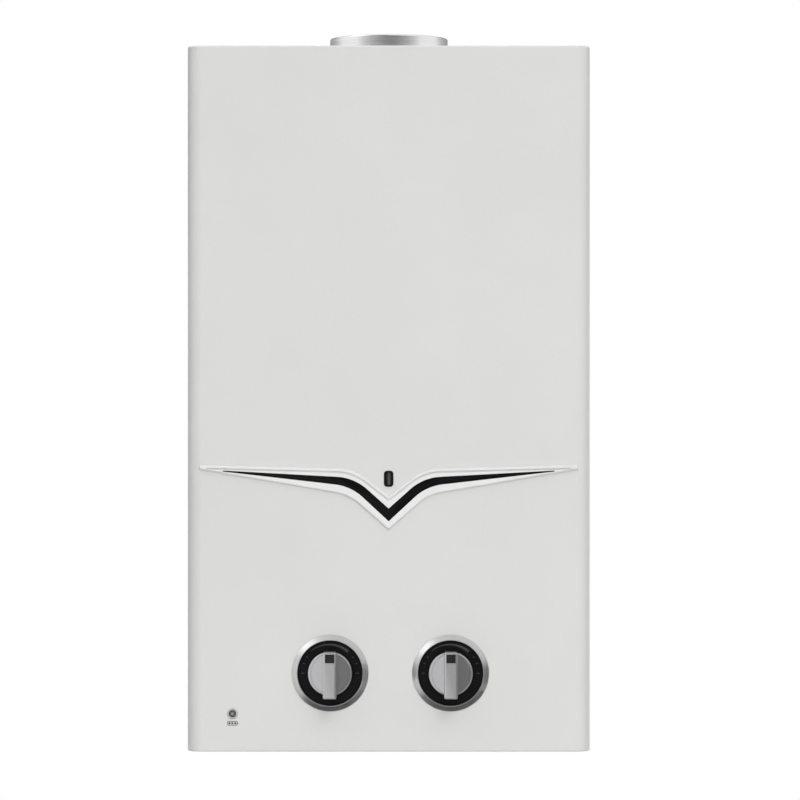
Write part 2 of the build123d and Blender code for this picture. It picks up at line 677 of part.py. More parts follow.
with BuildPart() as v_trim:
    with BuildSketch(FACE):
        with BuildLine():
            FilletPolyline(*TRIM_POINTS, radius=TRIM_RADII, close=True)
        make_face()
    extrude(amount=TRIM_H)
    chamfer(v_trim.faces().sort_by(Axis.Y)[0].edges(), TRIM_BEVEL)
    with BuildSketch(FACE.offset(TRIM_H)):
        with BuildLine():
            FilletPolyline(*INLAY_POINTS, radius=TRIM_RADII, close=True)
        make_face()
    extrude(amount=-INLAY_DEPTH, mode=Mode.SUBTRACT)
    for peg_x, peg_z in TRIM_PEG_AT:
        peg((peg_x, FRONT, peg_z), (peg_x, FRONT + COVER_T + 1.5, peg_z), TRIM_PEG_R)
save(v_trim, "v_trim")

with BuildPart() as v_trim_inlay:
    with BuildSketch(FACE.offset(TRIM_H - INLAY_DEPTH)):
        with BuildLine():
            FilletPolyline(*INLAY_POINTS, radius=TRIM_RADII, close=True)
        make_face()
    extrude(amount=INLAY_DEPTH - INLAY_SINK)
save(v_trim_inlay, "v_trim_inlay")

# Sight window: a moulded grommet through the cover with a glass pane clipped behind it
with BuildPart() as sight_frame:
    with BuildSketch(FACE):
        with Locations((0, SIGHT_Z)):
            RectangleRounded(SIGHT_W, SIGHT_H, SIGHT_R)
    extrude(amount=0.7)
    with BuildSketch(FACE):
        with Locations((0, SIGHT_Z)):
            RectangleRounded(SIGHT_W - 1, SIGHT_H - 1, SIGHT_R)
    extrude(amount=-COVER_T)
    with BuildSketch(FACE.offset(-COVER_T)):
        with Locations((0, SIGHT_Z)):
            RectangleRounded(SIGHT_W + 8, SIGHT_H + 8, SIGHT_R)
    extrude(amount=-1.5)
    with BuildSketch(FACE.offset(1)):
        with Locations((0, SIGHT_Z)):
            RectangleRounded(SIGHT_W - 2 * SIGHT_LIP, SIGHT_H - 2 * SIGHT_LIP, SIGHT_R / 2)
    extrude(amount=-6, mode=Mode.SUBTRACT)
save(sight_frame, "sight_frame")

with BuildPart() as sight_glass:
    with BuildSketch(FACE.offset(-COVER_T - 1.5)):
        with Locations((0, SIGHT_Z)):
            RectangleRounded(SIGHT_W + 6, SIGHT_H + 6, SIGHT_R)
    extrude(amount=-1.2)
save(sight_glass, "sight_glass")

# Battery lamp: a small holder through the cover and the lens in it
with BuildPart() as lamp_holder:
    peg((LAMP_X, FRONT - LAMP_RING_H, LAMP_Z), (LAMP_X, FRONT, LAMP_Z), LAMP_RING_R)
    chamfer(lamp_holder.faces().sort_by(Axis.Y)[0].edges(), 0.5)
    peg((LAMP_X, FRONT, LAMP_Z), (LAMP_X, FRONT + LAMP_DEPTH, LAMP_Z), LAMP_R + 0.8)
    peg((LAMP_X, FRONT - 3, LAMP_Z), (LAMP_X, FRONT + LAMP_DEPTH + 1, LAMP_Z), LAMP_R, Mode.SUBTRACT)
save(lamp_holder, "lamp_holder")

with BuildPart() as lamp_lens:
    peg((LAMP_X, FRONT - 0.6, LAMP_Z), (LAMP_X, FRONT + LAMP_DEPTH, LAMP_Z), LAMP_R)
    fillet(lamp_lens.faces().sort_by(Axis.Y)[0].edges(), LAMP_R / 3)
save(lamp_lens, "lamp_lens")

# Knob surrounds: a bright ring snapped into the cover and the dial plate lying in it
with BuildPart() as knob_bezels:
    for knob_x in (GAS_X, WATER_X):
        with BuildSketch(Plane.XY.offset(KNOB_Z)):
            with BuildLine():
                outer_foot = (knob_x + BEZEL_R, FRONT)
                outer_wall = (knob_x + BEZEL_R, FRONT - 0.8)
                crest = (knob_x + BEZEL_R - 2.2, FRONT - BEZEL_H)
                crest_in = (knob_x + BEZEL_IN_R + 1.4, FRONT - BEZEL_H)
                throat = (knob_x + BEZEL_IN_R, FRONT - BEZEL_FLOOR - DIAL_T - 0.4)
                floor = (knob_x + BEZEL_IN_R, FRONT - BEZEL_FLOOR)
                floor_in = (knob_x + SPIGOT_R - SPIGOT_T, FRONT - BEZEL_FLOOR)
                spigot_in = (knob_x + SPIGOT_R - SPIGOT_T, FRONT + SPIGOT_L)
                spigot_out = (knob_x + SPIGOT_R, FRONT + SPIGOT_L)
                seat = (knob_x + SPIGOT_R, FRONT)
                Polyline(outer_foot, outer_wall)
                RadiusArc(outer_wall, crest, -5.0)
                Polyline(crest, crest_in, throat, floor, floor_in, spigot_in, spigot_out, seat, outer_foot)
            make_face()
        revolve(axis=Axis((knob_x, FRONT, KNOB_Z), (0, 1, 0)))
save(knob_bezels, "knob_bezels")

with BuildPart() as dial_plates:
    for knob_x in (GAS_X, WATER_X):
        peg((knob_x, FRONT - BEZEL_FLOOR, KNOB_Z), (knob_x, DIAL_FACE, KNOB_Z), BEZEL_IN_R - RUN_GAP)
        peg((knob_x, FRONT, KNOB_Z), (knob_x, DIAL_FACE - 1, KNOB_Z), DIAL_HOLE_R, Mode.SUBTRACT)
save(dial_plates, "dial_plates")


# Knobs: a moulded disc with a grip bar across it, a pointer insert and a flatted spindle
def make_knob(knob_x):
    """One knob, with its pointer pocket and its bore."""
    with BuildPart() as knob:
        base = Plane(origin=(knob_x, KNOB_BASE, KNOB_Z), x_dir=(1, 0, 0), z_dir=(0, -1, 0))
        with BuildSketch(base):
            Circle(KNOB_R)
        extrude(amount=KNOB_DISC_H)
        chamfer(knob.faces().sort_by(Axis.Y)[0].edges(), KNOB_EDGE)
        with BuildSketch(base):
            with Locations((0, (GRIP_HEAD - GRIP_TAIL) / 2)):
                Rectangle(GRIP_W, GRIP_HEAD + GRIP_TAIL)
        extrude(amount=KNOB_H)
        chamfer(knob.faces().sort_by(Axis.Y)[0].edges(), GRIP_EDGE)
        with BuildSketch(base.offset(KNOB_H)):
            with Locations((0, GRIP_HEAD - POINTER_INSET - POINTER_L / 2)):
                Rectangle(POINTER_W, POINTER_L)
        extrude(amount=-POINTER_DEPTH, mode=Mode.SUBTRACT)
        with BuildSketch(base):
            Circle(SPINDLE_R)
            with Locations((0, SPINDLE_R)):
                Rectangle(2 * SPINDLE_R, 2 * SPINDLE_FLAT, mode=Mode.SUBTRACT)
        extrude(amount=SPINDLE_IN_KNOB, mode=Mode.SUBTRACT)
    return knob


def make_pointer(knob_x):
    """The insert in a knob's pointer pocket."""
    with BuildPart() as pointer:
        top = Plane(origin=(knob_x, KNOB_BASE - KNOB_H, KNOB_Z), x_dir=(1, 0, 0), z_dir=(0, -1, 0))
        with BuildSketch(top):
            with Locations((0, GRIP_HEAD - POINTER_INSET - POINTER_L / 2)):
                Rectangle(POINTER_W, POINTER_L)
        extrude(amount=-POINTER_DEPTH)
    return pointer


def make_spindle(knob_x):
    """A round spindle with a flat in the knob and a cross port in the valve."""
    with BuildPart() as spindle:
        peg((knob_x, VALVE_FRONT + SPINDLE_IN_VALVE - 0.5, KNOB_Z), (knob_x, KNOB_BASE, KNOB_Z), SPINDLE_R)
        end = Plane(origin=(knob_x, KNOB_BASE, KNOB_Z), x_dir=(1, 0, 0), z_dir=(0, -1, 0))
        with BuildSketch(end):
            Circle(SPINDLE_R)
            with Locations((0, SPINDLE_R)):
                Rectangle(2 * SPINDLE_R, 2 * SPINDLE_FLAT, mode=Mode.SUBTRACT)
        extrude(amount=SPINDLE_IN_KNOB - 0.2)
        peg((knob_x, MANIFOLD_Y, KNOB_Z - 9), (knob_x, MANIFOLD_Y, KNOB_Z + 9), SPINDLE_R / 2, Mode.SUBTRACT)
    return spindle


save(make_knob(GAS_X), "gas_knob")
save(make_knob(WATER_X), "water_knob")
save(make_pointer(GAS_X), "gas_pointer")
save(make_pointer(WATER_X), "water_pointer")
save(make_spindle(GAS_X), "gas_spindle")
save(make_spindle(WATER_X), "water_spindle")

# Glands: hexagon nuts that hold each spindle and its ring seal in the valve
with BuildPart() as spindle_glands:
    for knob_x in (GAS_X, WATER_X):
        hexagon((knob_x, VALVE_FRONT, KNOB_Z), (knob_x, VALVE_FRONT - GLAND_L, KNOB_Z), GLAND_FLATS)
        gland_end = (knob_x, VALVE_FRONT - GLAND_L - 1, KNOB_Z)
        peg((knob_x, VALVE_FRONT + 1, KNOB_Z), gland_end, SPINDLE_R + RUN_GAP, Mode.SUBTRACT)
        seal_end = (knob_x, VALVE_FRONT - 2 * SEAL_R, KNOB_Z)
        seal_room = SPINDLE_R + 2 * SEAL_R + SLIP_GAP
        peg((knob_x, VALVE_FRONT, KNOB_Z), seal_end, seal_room, Mode.SUBTRACT)
save(spindle_glands, "spindle_glands")

with BuildPart() as spindle_seals:
    for knob_x in (GAS_X, WATER_X):
        with Locations(Plane(origin=(knob_x, VALVE_FRONT - SEAL_R, KNOB_Z), z_dir=(0, -1, 0))):
            Torus(SPINDLE_R + SEAL_R + 2 * RUN_GAP, SEAL_R)
save(spindle_seals, "spindle_seals")

# Gas valve: a cast block on the bottom plate, with the poppet chamber across it and the tap in front
OUTLET_X = SEAT_X + SEAT_T + OUTLET_L / 2
CROSS_Y = VALVE_FRONT + SPINDLE_IN_VALVE - DRILL_R
with BuildPart() as gas_valve_body:
    block((GAS_LEFT, VALVE_FRONT, DECK_Z), (GAS_RIGHT, VALVE_REAR, GAS_TOP))
    fillet(gas_valve_body.edges().filter_by(Axis.Z), VALVE_EDGE)
    peg((GAS_LEFT - 1, ROD_Y, KNOB_Z), (SEAT_X, ROD_Y, KNOB_Z), CHAMBER_R, Mode.SUBTRACT)
    peg((SEAT_X - 1, ROD_Y, KNOB_Z), (SEAT_X + SEAT_T, ROD_Y, KNOB_Z), SEAT_R, Mode.SUBTRACT)
    outlet_end = (SEAT_X + SEAT_T + OUTLET_L, ROD_Y, KNOB_Z)
    peg((SEAT_X + SEAT_T, ROD_Y, KNOB_Z), outlet_end, OUTLET_R, Mode.SUBTRACT)
    peg((SEAT_X, ROD_Y, KNOB_Z), (GAS_RIGHT + 1, ROD_Y, KNOB_Z), ROD_R + RUN_GAP, Mode.SUBTRACT)
    peg((GAS_IN_X, ROD_Y, DECK_Z - 1), (GAS_IN_X, ROD_Y, DECK_Z + SOCKET_L), SOCKET_R, Mode.SUBTRACT)
    peg((GAS_IN_X, ROD_Y, DECK_Z), (GAS_IN_X, ROD_Y, KNOB_Z), BORE_R, Mode.SUBTRACT)
    peg((OUTLET_X, ROD_Y, KNOB_Z), (OUTLET_X, CROSS_Y, KNOB_Z), DRILL_R, Mode.SUBTRACT)
    peg((OUTLET_X, CROSS_Y, KNOB_Z), (GAS_X, CROSS_Y, KNOB_Z), PASSAGE_R, Mode.SUBTRACT)
    spindle_end = (GAS_X, VALVE_FRONT + SPINDLE_IN_VALVE, KNOB_Z)
    peg((GAS_X, VALVE_FRONT - 1, KNOB_Z), spindle_end, SPINDLE_R + RUN_GAP, Mode.SUBTRACT)
    peg((GAS_X, MANIFOLD_Y, KNOB_Z), (GAS_X, MANIFOLD_Y, GAS_TOP + 1), DRILL_R, Mode.SUBTRACT)
save(gas_valve_body, "gas_valve_body")

with BuildPart() as solenoid_valve:
    half = SOLENOID_FLANGE / 2
    flange_x = GAS_LEFT - SOLENOID_FLANGE_T
    block((flange_x, ROD_Y - half, KNOB_Z - half), (GAS_LEFT, ROD_Y + half, KNOB_Z + half))
    fillet(solenoid_valve.edges().filter_by(Axis.X), VALVE_EDGE)
    can_x = GAS_LEFT - SOLENOID_FLANGE_T - SOLENOID_L
    peg((GAS_LEFT - SOLENOID_FLANGE_T, ROD_Y, KNOB_Z), (can_x, ROD_Y, KNOB_Z), SOLENOID_R)
    fillet(solenoid_valve.faces().sort_by(Axis.X)[0].edges(), 2)
save(solenoid_valve, "solenoid_valve")

# Push rod: lifted by the diaphragm, it opens the gas poppet and frees the microswitch
PLATE_X = FLANGE_X - SLIP_GAP
POPPET_X = SEAT_X - 2 * RUN_GAP
COLLAR_X = WATER_LEFT - SWITCH_L - PLUNGER_OUT - SLIP_GAP
with BuildPart() as push_rod:
    peg((POPPET_X - POPPET_T - 6, ROD_Y, KNOB_Z), (PLATE_X, ROD_Y, KNOB_Z), ROD_R)
    peg((PLATE_X - LIFT_PLATE_T, ROD_Y, KNOB_Z), (PLATE_X, ROD_Y, KNOB_Z), LIFT_PLATE_R)
    peg((COLLAR_X - ROD_COLLAR_T, ROD_Y, KNOB_Z), (COLLAR_X, ROD_Y, KNOB_Z), ROD_COLLAR_R)
save(push_rod, "push_rod")

with BuildPart() as gas_poppet:
    peg((POPPET_X - POPPET_T, ROD_Y, KNOB_Z), (POPPET_X, ROD_Y, KNOB_Z), POPPET_R)
    peg((POPPET_X - POPPET_T - 1, ROD_Y, KNOB_Z), (POPPET_X + 1, ROD_Y, KNOB_Z), ROD_R, Mode.SUBTRACT)
save(gas_poppet, "gas_poppet")

SPRING_L = POPPET_X - POPPET_T - GAS_LEFT - 2 * SPRING_WIRE_R - 2 * RUN_GAP
with BuildPart() as poppet_spring:
    with BuildLine() as spring_path:
        Helix(
            pitch=SPRING_L / SPRING_TURNS,
            height=SPRING_L,
            radius=SPRING_R,
            center=(GAS_LEFT + SPRING_WIRE_R + RUN_GAP, ROD_Y, KNOB_Z),
            direction=(1, 0, 0),
        )
    with BuildSketch(Plane(origin=spring_path.line @ 0, z_dir=spring_path.line % 0)):
        Circle(SPRING_WIRE_R)
    sweep(path=spring_path.line, is_frenet=True)
save(poppet_spring, "poppet_spring")

# Water valve: the flow tap in front, the cold inlet below and the diaphragm chamber on the right
WATER_TOP = DECK_Z + WATER_H
WATER_OUT_Z = DECK_Z + WATER_OUT_RISE
RETURN_Y = VALVE_REAR - DRILL_R - 1.5
with BuildPart() as water_valve_body:
    block((WATER_LEFT, VALVE_FRONT, DECK_Z), (WATER_RIGHT, VALVE_REAR, WATER_TOP))
    fillet(water_valve_body.edges().filter_by(Axis.Z), VALVE_EDGE)
    peg((WATER_RIGHT - VALVE_EDGE, ROD_Y, KNOB_Z), (FLANGE_X, ROD_Y, KNOB_Z), DIAPHRAGM_R)
    chamber_in = (FLANGE_X - WATER_CHAMBER_L, ROD_Y, KNOB_Z)
    peg((FLANGE_X + 1, ROD_Y, KNOB_Z), chamber_in, WATER_CHAMBER_R, Mode.SUBTRACT)
    peg((WATER_LEFT - 1, ROD_Y, KNOB_Z), (FLANGE_X, ROD_Y, KNOB_Z), ROD_R + RUN_GAP, Mode.SUBTRACT)
    peg((WATER_X, COLD_Y, DECK_Z - 1), (WATER_X, COLD_Y, DECK_Z + SOCKET_L), SOCKET_R, Mode.SUBTRACT)
    feed_z = DECK_Z + SOCKET_L + 1.5 * DRILL_R
    feed_y = VALVE_FRONT + SPINDLE_IN_VALVE - 2 * DRILL_R
    peg((WATER_X, COLD_Y, DECK_Z), (WATER_X, COLD_Y, feed_z + 1.3 * DRILL_R), BORE_R, Mode.SUBTRACT)
    peg((WATER_X, COLD_Y, feed_z), (WATER_X, feed_y - DRILL_R, feed_z), DRILL_R, Mode.SUBTRACT)
    peg((WATER_X, feed_y, feed_z - PASSAGE_R), (WATER_X, feed_y, KNOB_Z), PASSAGE_R, Mode.SUBTRACT)
    tap_end = (WATER_X, VALVE_FRONT + SPINDLE_IN_VALVE, KNOB_Z)
    peg((WATER_X, VALVE_FRONT - 1, KNOB_Z), tap_end, SPINDLE_R + RUN_GAP, Mode.SUBTRACT)
    peg((WATER_X, CROSS_Y, KNOB_Z), (FLANGE_X - 1, CROSS_Y, KNOB_Z), PASSAGE_R, Mode.SUBTRACT)
    return_end = (WATER_X - PASSAGE_R - 1, RETURN_Y, WATER_OUT_Z)
    peg((FLANGE_X - 1, RETURN_Y, WATER_OUT_Z), return_end, PASSAGE_R, Mode.SUBTRACT)
    peg((WATER_X, RETURN_Y, WATER_OUT_Z), (WATER_X, VALVE_REAR + 1, WATER_OUT_Z), DRILL_R, Mode.SUBTRACT)
    drain_end = (WATER_X, DRAIN_Y, DECK_Z + DRAIN_L + 1)
    peg((WATER_X, DRAIN_Y, DECK_Z - 1), drain_end, DRAIN_R + RUN_GAP, Mode.SUBTRACT)
    with Locations(Plane(origin=(FLANGE_X, ROD_Y, KNOB_Z), z_dir=(1, 0, 0))):
        with PolarLocations(VALVE_SCREW_PCD / 2, VALVE_SCREWS, start_angle=30):
            Cylinder(SCREW_R, 2 * VALVE_HOLE_L, mode=Mode.SUBTRACT)
save(water_valve_body, "water_valve_body")

with BuildPart() as diaphragm:
    peg((FLANGE_X, ROD_Y, KNOB_Z), (FLANGE_X + DIAPHRAGM_T, ROD_Y, KNOB_Z), DIAPHRAGM_R)
    with Locations(Plane(origin=(FLANGE_X, ROD_Y, KNOB_Z), z_dir=(1, 0, 0))):
        with PolarLocations(VALVE_SCREW_PCD / 2, VALVE_SCREWS, start_angle=30):
            Cylinder(SCREW_R, 4 * DIAPHRAGM_T, mode=Mode.SUBTRACT)
save(diaphragm, "diaphragm")

COVER_X = FLANGE_X + DIAPHRAGM_T
with BuildPart() as diaphragm_cover:
    dome_r = WATER_CHAMBER_R + DOME_WALL
    peg((COVER_X, ROD_Y, KNOB_Z), (COVER_X + DOME_L, ROD_Y, KNOB_Z), dome_r)
    fillet(diaphragm_cover.faces().sort_by(Axis.X)[-1].edges(), 4)
    peg((COVER_X, ROD_Y, KNOB_Z), (COVER_X + DOME_FLANGE_T, ROD_Y, KNOB_Z), DIAPHRAGM_R)
    dome_in = (COVER_X + DOME_L - DOME_WALL - 1, ROD_Y, KNOB_Z)
    peg((COVER_X - 1, ROD_Y, KNOB_Z), dome_in, WATER_CHAMBER_R, Mode.SUBTRACT)
    with Locations(Plane(origin=(COVER_X, ROD_Y, KNOB_Z), z_dir=(1, 0, 0))):
        with PolarLocations(VALVE_SCREW_PCD / 2, VALVE_SCREWS, start_angle=30):
            Cylinder(SCREW_R, 4 * DOME_FLANGE_T, mode=Mode.SUBTRACT)
save(diaphragm_cover, "diaphragm_cover")

with BuildPart() as valve_screws:
    head_x = COVER_X + DOME_FLANGE_T
    with Locations(Plane(origin=(head_x, ROD_Y, KNOB_Z), z_dir=(1, 0, 0))):
        with PolarLocations(VALVE_SCREW_PCD / 2, VALVE_SCREWS, start_angle=30):
            Cylinder(SCREW_HEAD_R, SCREW_HEAD_T, align=(Align.CENTER, Align.CENTER, Align.MIN))
            Cylinder(
                SCREW_R,
                VALVE_SCREW_L,
                align=(Align.CENTER, Align.CENTER, Align.MAX),
            )
save(valve_screws, "valve_screws")

# Microswitch: bolted to the water valve above the rod, its plunger held in by the rod's collar
SWITCH_Z = KNOB_Z + ROD_R + 1
PLUNGER_Z = SWITCH_Z + PLUNGER_R + 1
SWITCH_X = WATER_LEFT - SWITCH_L
with BuildPart() as microswitch:
    block((SWITCH_X, ROD_Y - SWITCH_W / 2, SWITCH_Z), (WATER_LEFT, ROD_Y + SWITCH_W / 2, SWITCH_Z + SWITCH_H))
    plunger_room = (SWITCH_X + PLUNGER_IN + 1, ROD_Y, PLUNGER_Z)
    peg((SWITCH_X - 1, ROD_Y, PLUNGER_Z), plunger_room, PLUNGER_R + RUN_GAP, Mode.SUBTRACT)
save(microswitch, "microswitch")

with BuildPart() as switch_plunger:
    peg((SWITCH_X - PLUNGER_OUT, ROD_Y, PLUNGER_Z), (SWITCH_X + PLUNGER_IN, ROD_Y, PLUNGER_Z), PLUNGER_R)
save(switch_plunger, "switch_plunger")

# Gas manifold: a bar on the gas valve with one jet in front of every burner
JET_X = [(n - (BURNER_COUNT - 1) / 2) * BURNER_PITCH for n in range(BURNER_COUNT)]
MANIFOLD_HALF = BURNER_COUNT * BURNER_PITCH / 2 + 2
JET_Y = MANIFOLD_Y + MANIFOLD_SIZE / 2
with BuildPart() as gas_manifold:
    block(
        (-MANIFOLD_HALF, MANIFOLD_Y - MANIFOLD_SIZE / 2, MANIFOLD_Z),
        (MANIFOLD_HALF, JET_Y, MANIFOLD_Z + MANIFOLD_SIZE),
    )
    fillet(gas_manifold.edges().filter_by(Axis.X), 2)
    peg((GAS_X, MANIFOLD_Y, GAS_TOP), (GAS_X, MANIFOLD_Y, JET_Z), MANIFOLD_SIZE / 2 - 0.5)
    bore_end = (MANIFOLD_HALF - 4, MANIFOLD_Y, JET_Z)
    peg((4 - MANIFOLD_HALF, MANIFOLD_Y, JET_Z), bore_end, MANIFOLD_BORE_R, Mode.SUBTRACT)
    peg((GAS_X, MANIFOLD_Y, GAS_TOP - 1), (GAS_X, MANIFOLD_Y, JET_Z), DRILL_R, Mode.SUBTRACT)
    for jet_x in JET_X:
        peg((jet_x, MANIFOLD_Y, JET_Z), (jet_x, JET_Y + 1, JET_Z), JET_R * 0.7, Mode.SUBTRACT)
save(gas_manifold, "gas_manifold")

with BuildPart() as gas_jets:
    for jet_x in JET_X:
        hexagon((jet_x, JET_Y, JET_Z), (jet_x, JET_Y + JET_L - 2, JET_Z), 2 * JET_R)
        peg((jet_x, JET_Y - 2.5, JET_Z), (jet_x, JET_Y + JET_L, JET_Z), JET_R * 0.7)
        peg((jet_x, JET_Y - 4, JET_Z), (jet_x, JET_Y + JET_L + 1, JET_Z), JET_R * 0.25, Mode.SUBTRACT)
save(gas_jets, "gas_jets")

# Burner bars: hollow pressed steel blades with slit heads, each fed by its own venturi
MOUTH_Y = JET_Y + JET_L + JET_GAP
VENTURI_L = CORE_REAR - LEDGE - VENTURI_END_ROOM - MOUTH_Y
SHELF_Z = BURNER_Z + CHASSIS_T
with BuildPart() as one_bar:
    front_y = CORE_FRONT + CORE_T
    rear_y = CORE_REAR - CORE_T
    head_z = BURNER_TOP - BURNER_HEAD_H
    head = BURNER_HEAD_W / 2
    web = BURNER_WEB_W / 2
    neck_front = MOUTH_Y + 8
    neck_rear = MOUTH_Y + VENTURI_L - 8
    block((-head, front_y, head_z), (head, rear_y, BURNER_TOP))
    block((-web, front_y, SHELF_Z), (web, rear_y, head_z))
    block((-web, neck_front, JET_Z), (web, neck_rear, SHELF_Z))
    peg((0, MOUTH_Y, JET_Z), (0, MOUTH_Y + VENTURI_L, JET_Z), VENTURI_R)
    with Locations(Plane(origin=(0, MOUTH_Y, JET_Z), z_dir=(0, 1, 0))):
        Cone(VENTURI_R + VENTURI_FLARE, VENTURI_R, 7, align=(Align.CENTER, Align.CENTER, Align.MIN))
    throat_end = (0, MOUTH_Y + VENTURI_L - 6, JET_Z)
    peg((0, MOUTH_Y - 1, JET_Z), throat_end, VENTURI_R - VENTURI_T, Mode.SUBTRACT)
    skin = BURNER_T
    in_front = front_y + skin
    in_rear = rear_y - skin
    block((skin - head, in_front, head_z + skin), (head - skin, in_rear, BURNER_TOP - skin), Mode.SUBTRACT)
    block((skin - web, in_front, SHELF_Z + skin), (web - skin, in_rear, head_z + 2), Mode.SUBTRACT)
    block((skin - web, neck_front + skin, JET_Z), (web - skin, neck_rear - skin, SHELF_Z + 2), Mode.SUBTRACT)
    with Locations((0, (front_y + rear_y) / 2, BURNER_TOP)):
        with GridLocations(0, (rear_y - front_y) / BURNER_SLITS, 1, BURNER_SLITS):
            Box(BURNER_HEAD_W - 4, 2, 6, mode=Mode.SUBTRACT)
with BuildPart() as burner_bars:
    with GridLocations(BURNER_PITCH, 0, BURNER_COUNT, 1):
        add(one_bar.part)
save(burner_bars, "burner_bars")

with BuildPart() as burner_frame:
    with BuildSketch(Plane.XY.offset(BURNER_Z)):
        with Locations((0, CORE_Y)):
            RectangleRounded(CORE_W, CORE_D, CORE_R)
            RectangleRounded(CORE_W - 2 * CORE_T, CORE_D - 2 * CORE_T, CORE_R - CORE_T, mode=Mode.SUBTRACT)
    extrude(amount=BURNER_H)
    with BuildSketch(Plane.XY.offset(BURNER_Z)):
        with Locations((0, CORE_Y)):
            RectangleRounded(CORE_W, CORE_D, CORE_R)
            Rectangle(CORE_W - 2 * LEDGE, CORE_D - 2 * LEDGE, mode=Mode.SUBTRACT)
    extrude(amount=CHASSIS_T)
    for bracket_x in (-RIVET_X, RIVET_X):
        low_x = bracket_x - BRACKET_W / 2
        high_x = bracket_x + BRACKET_W / 2
        block((low_x, CORE_REAR - CORE_T, BRACKET_Z), (high_x, PANEL_Y, BRACKET_Z + CHASSIS_T))
        block((low_x, PANEL_Y - CHASSIS_T, BRACKET_Z), (high_x, PANEL_Y, BRACKET_Z + BRACKET_H))
        rivet_z = BRACKET_Z + BRACKET_H / 2
        peg((bracket_x, PANEL_Y - 3, rivet_z), (bracket_x, 0, rivet_z), RIVET_R, Mode.SUBTRACT)
save(burner_frame, "burner_frame")

# Heat exchanger: a copper shell on the burner frame, finned at the top, wrapped by the water coil
ELECTRODE_Z = BURNER_TOP + ELECTRODE_LIFT
ELECTRODES = [
    (ELECTRODE_X, ELECTRODE_Z + ELECTRODE_STEP),
    (ELECTRODE_X - ELECTRODE_PITCH, ELECTRODE_Z),
]
TUBE_ROWS = [TUBE_FIRST_Y + n * TUBE_PITCH for n in range(TUBE_COUNT)]
with BuildPart() as exchanger_shell:
    with BuildSketch(Plane.XY.offset(BURNER_TOP)):
        with Locations((0, CORE_Y)):
            RectangleRounded(CORE_W, CORE_D, CORE_R)
            RectangleRounded(CORE_W - 2 * CORE_T, CORE_D - 2 * CORE_T, CORE_R - CORE_T, mode=Mode.SUBTRACT)
    extrude(amount=SHELL_H)
    for row_y in TUBE_ROWS:
        peg((-CORE_W, row_y, TUBE_Z), (CORE_W, row_y, TUBE_Z), PIPE_R + RUN_GAP, Mode.SUBTRACT)
    with BuildSketch(Plane(origin=(0, CORE_FRONT, 0), x_dir=(1, 0, 0), z_dir=(0, -1, 0))):
        with Locations((0, SIGHT_Z)):
            RectangleRounded(2 * SIGHT_W, 2 * SIGHT_H, SIGHT_R)
    extrude(amount=-2 * CORE_T, mode=Mode.SUBTRACT)
    for pin_x, pin_z in ELECTRODES:
        pin_end = (pin_x, CORE_FRONT + 3, pin_z)
        peg((pin_x, CORE_FRONT - 1, pin_z), pin_end, CERAMIC_R + RUN_GAP, Mode.SUBTRACT)
save(exchanger_shell, "exchanger_shell")

FIN_COUNT = int((CORE_W - 2 * FIN_EDGE) / FIN_PITCH) + 1
with BuildPart() as one_fin:
    with BuildSketch(Plane.YZ.offset(-FIN_T / 2)):
        with Locations((CORE_Y, TUBE_Z)):
            Rectangle(CORE_D - 2 * CORE_T, FIN_BLOCK_H)
        for row_y in TUBE_ROWS:
            with Locations((row_y, TUBE_Z)):
                Circle(PIPE_R + RUN_GAP, mode=Mode.SUBTRACT)
    extrude(amount=FIN_T)
with BuildPart() as exchanger_fins:
    with GridLocations(FIN_PITCH, 0, FIN_COUNT, 1):
        add(one_fin.part)
save(exchanger_fins, "exchanger_fins")

TURN_X = CORE_W / 2 + CORE_T + TUBE_BEND + 1
TUBE_PATH = [(TUBE_END, TUBE_ROWS[0], TUBE_Z)]
for row in range(TUBE_COUNT - 1):
    turn_x = -TURN_X if row % 2 == 0 else TURN_X
    TUBE_PATH.append((turn_x, TUBE_ROWS[row], TUBE_Z))
    TUBE_PATH.append((turn_x, TUBE_ROWS[row + 1], TUBE_Z))
TUBE_PATH.append((-TUBE_END, TUBE_ROWS[-1], TUBE_Z))
save(bent_tube(TUBE_PATH, TUBE_BEND, PIPE_R, PIPE_T), "exchanger_tubes")

# Water coil: rises beside the shell, winds twice round it and runs up to the first exchanger tube
COIL_FOOT = COIL_Z - COIL_DROP
COIL_RUNS = [
    (-COIL_X, COIL_REAR),
    (-COIL_X, COIL_FRONT),
    (COIL_X, COIL_FRONT),
    (COIL_X, COIL_REAR),
    (-COIL_X, COIL_REAR),
    (-COIL_X, COIL_FRONT),
    (RISER_X, COIL_FRONT),
]
COIL_PATH = [(RISER_X, COIL_REAR, COIL_FOOT), (RISER_X, COIL_REAR, COIL_Z)]
for step, (run_x, run_y) in enumerate(COIL_RUNS):
    COIL_PATH.append((run_x, run_y, COIL_Z + (step + 1) * COIL_STEP))
COIL_PATH.append((RISER_X, COIL_FRONT, TUBE_Z))
COIL_PATH.append((RISER_X, TUBE_ROWS[0], TUBE_Z))
COIL_PATH.append((TUBE_END, TUBE_ROWS[0], TUBE_Z))
LAST_BEND = (TUBE_ROWS[0] - COIL_FRONT) / 2 - 0.5
COIL_BENDS = [CORE_R + COIL_GAP + PIPE_R] * 7 + [PIPE_BEND - 2, LAST_BEND, LAST_BEND]
save(bent_tube(COIL_PATH, COIL_BENDS, PIPE_R, PIPE_T), "water_coil")

COLD_PATH = [
    (WATER_X, VALVE_REAR, WATER_OUT_Z),
    (WATER_X, COIL_REAR, WATER_OUT_Z),
    (RISER_X, COIL_REAR, WATER_OUT_Z),
    (RISER_X, COIL_REAR, COIL_FOOT),
]
save(bent_tube(COLD_PATH, PIPE_BEND, PIPE_R, PIPE_T), "cold_pipe")

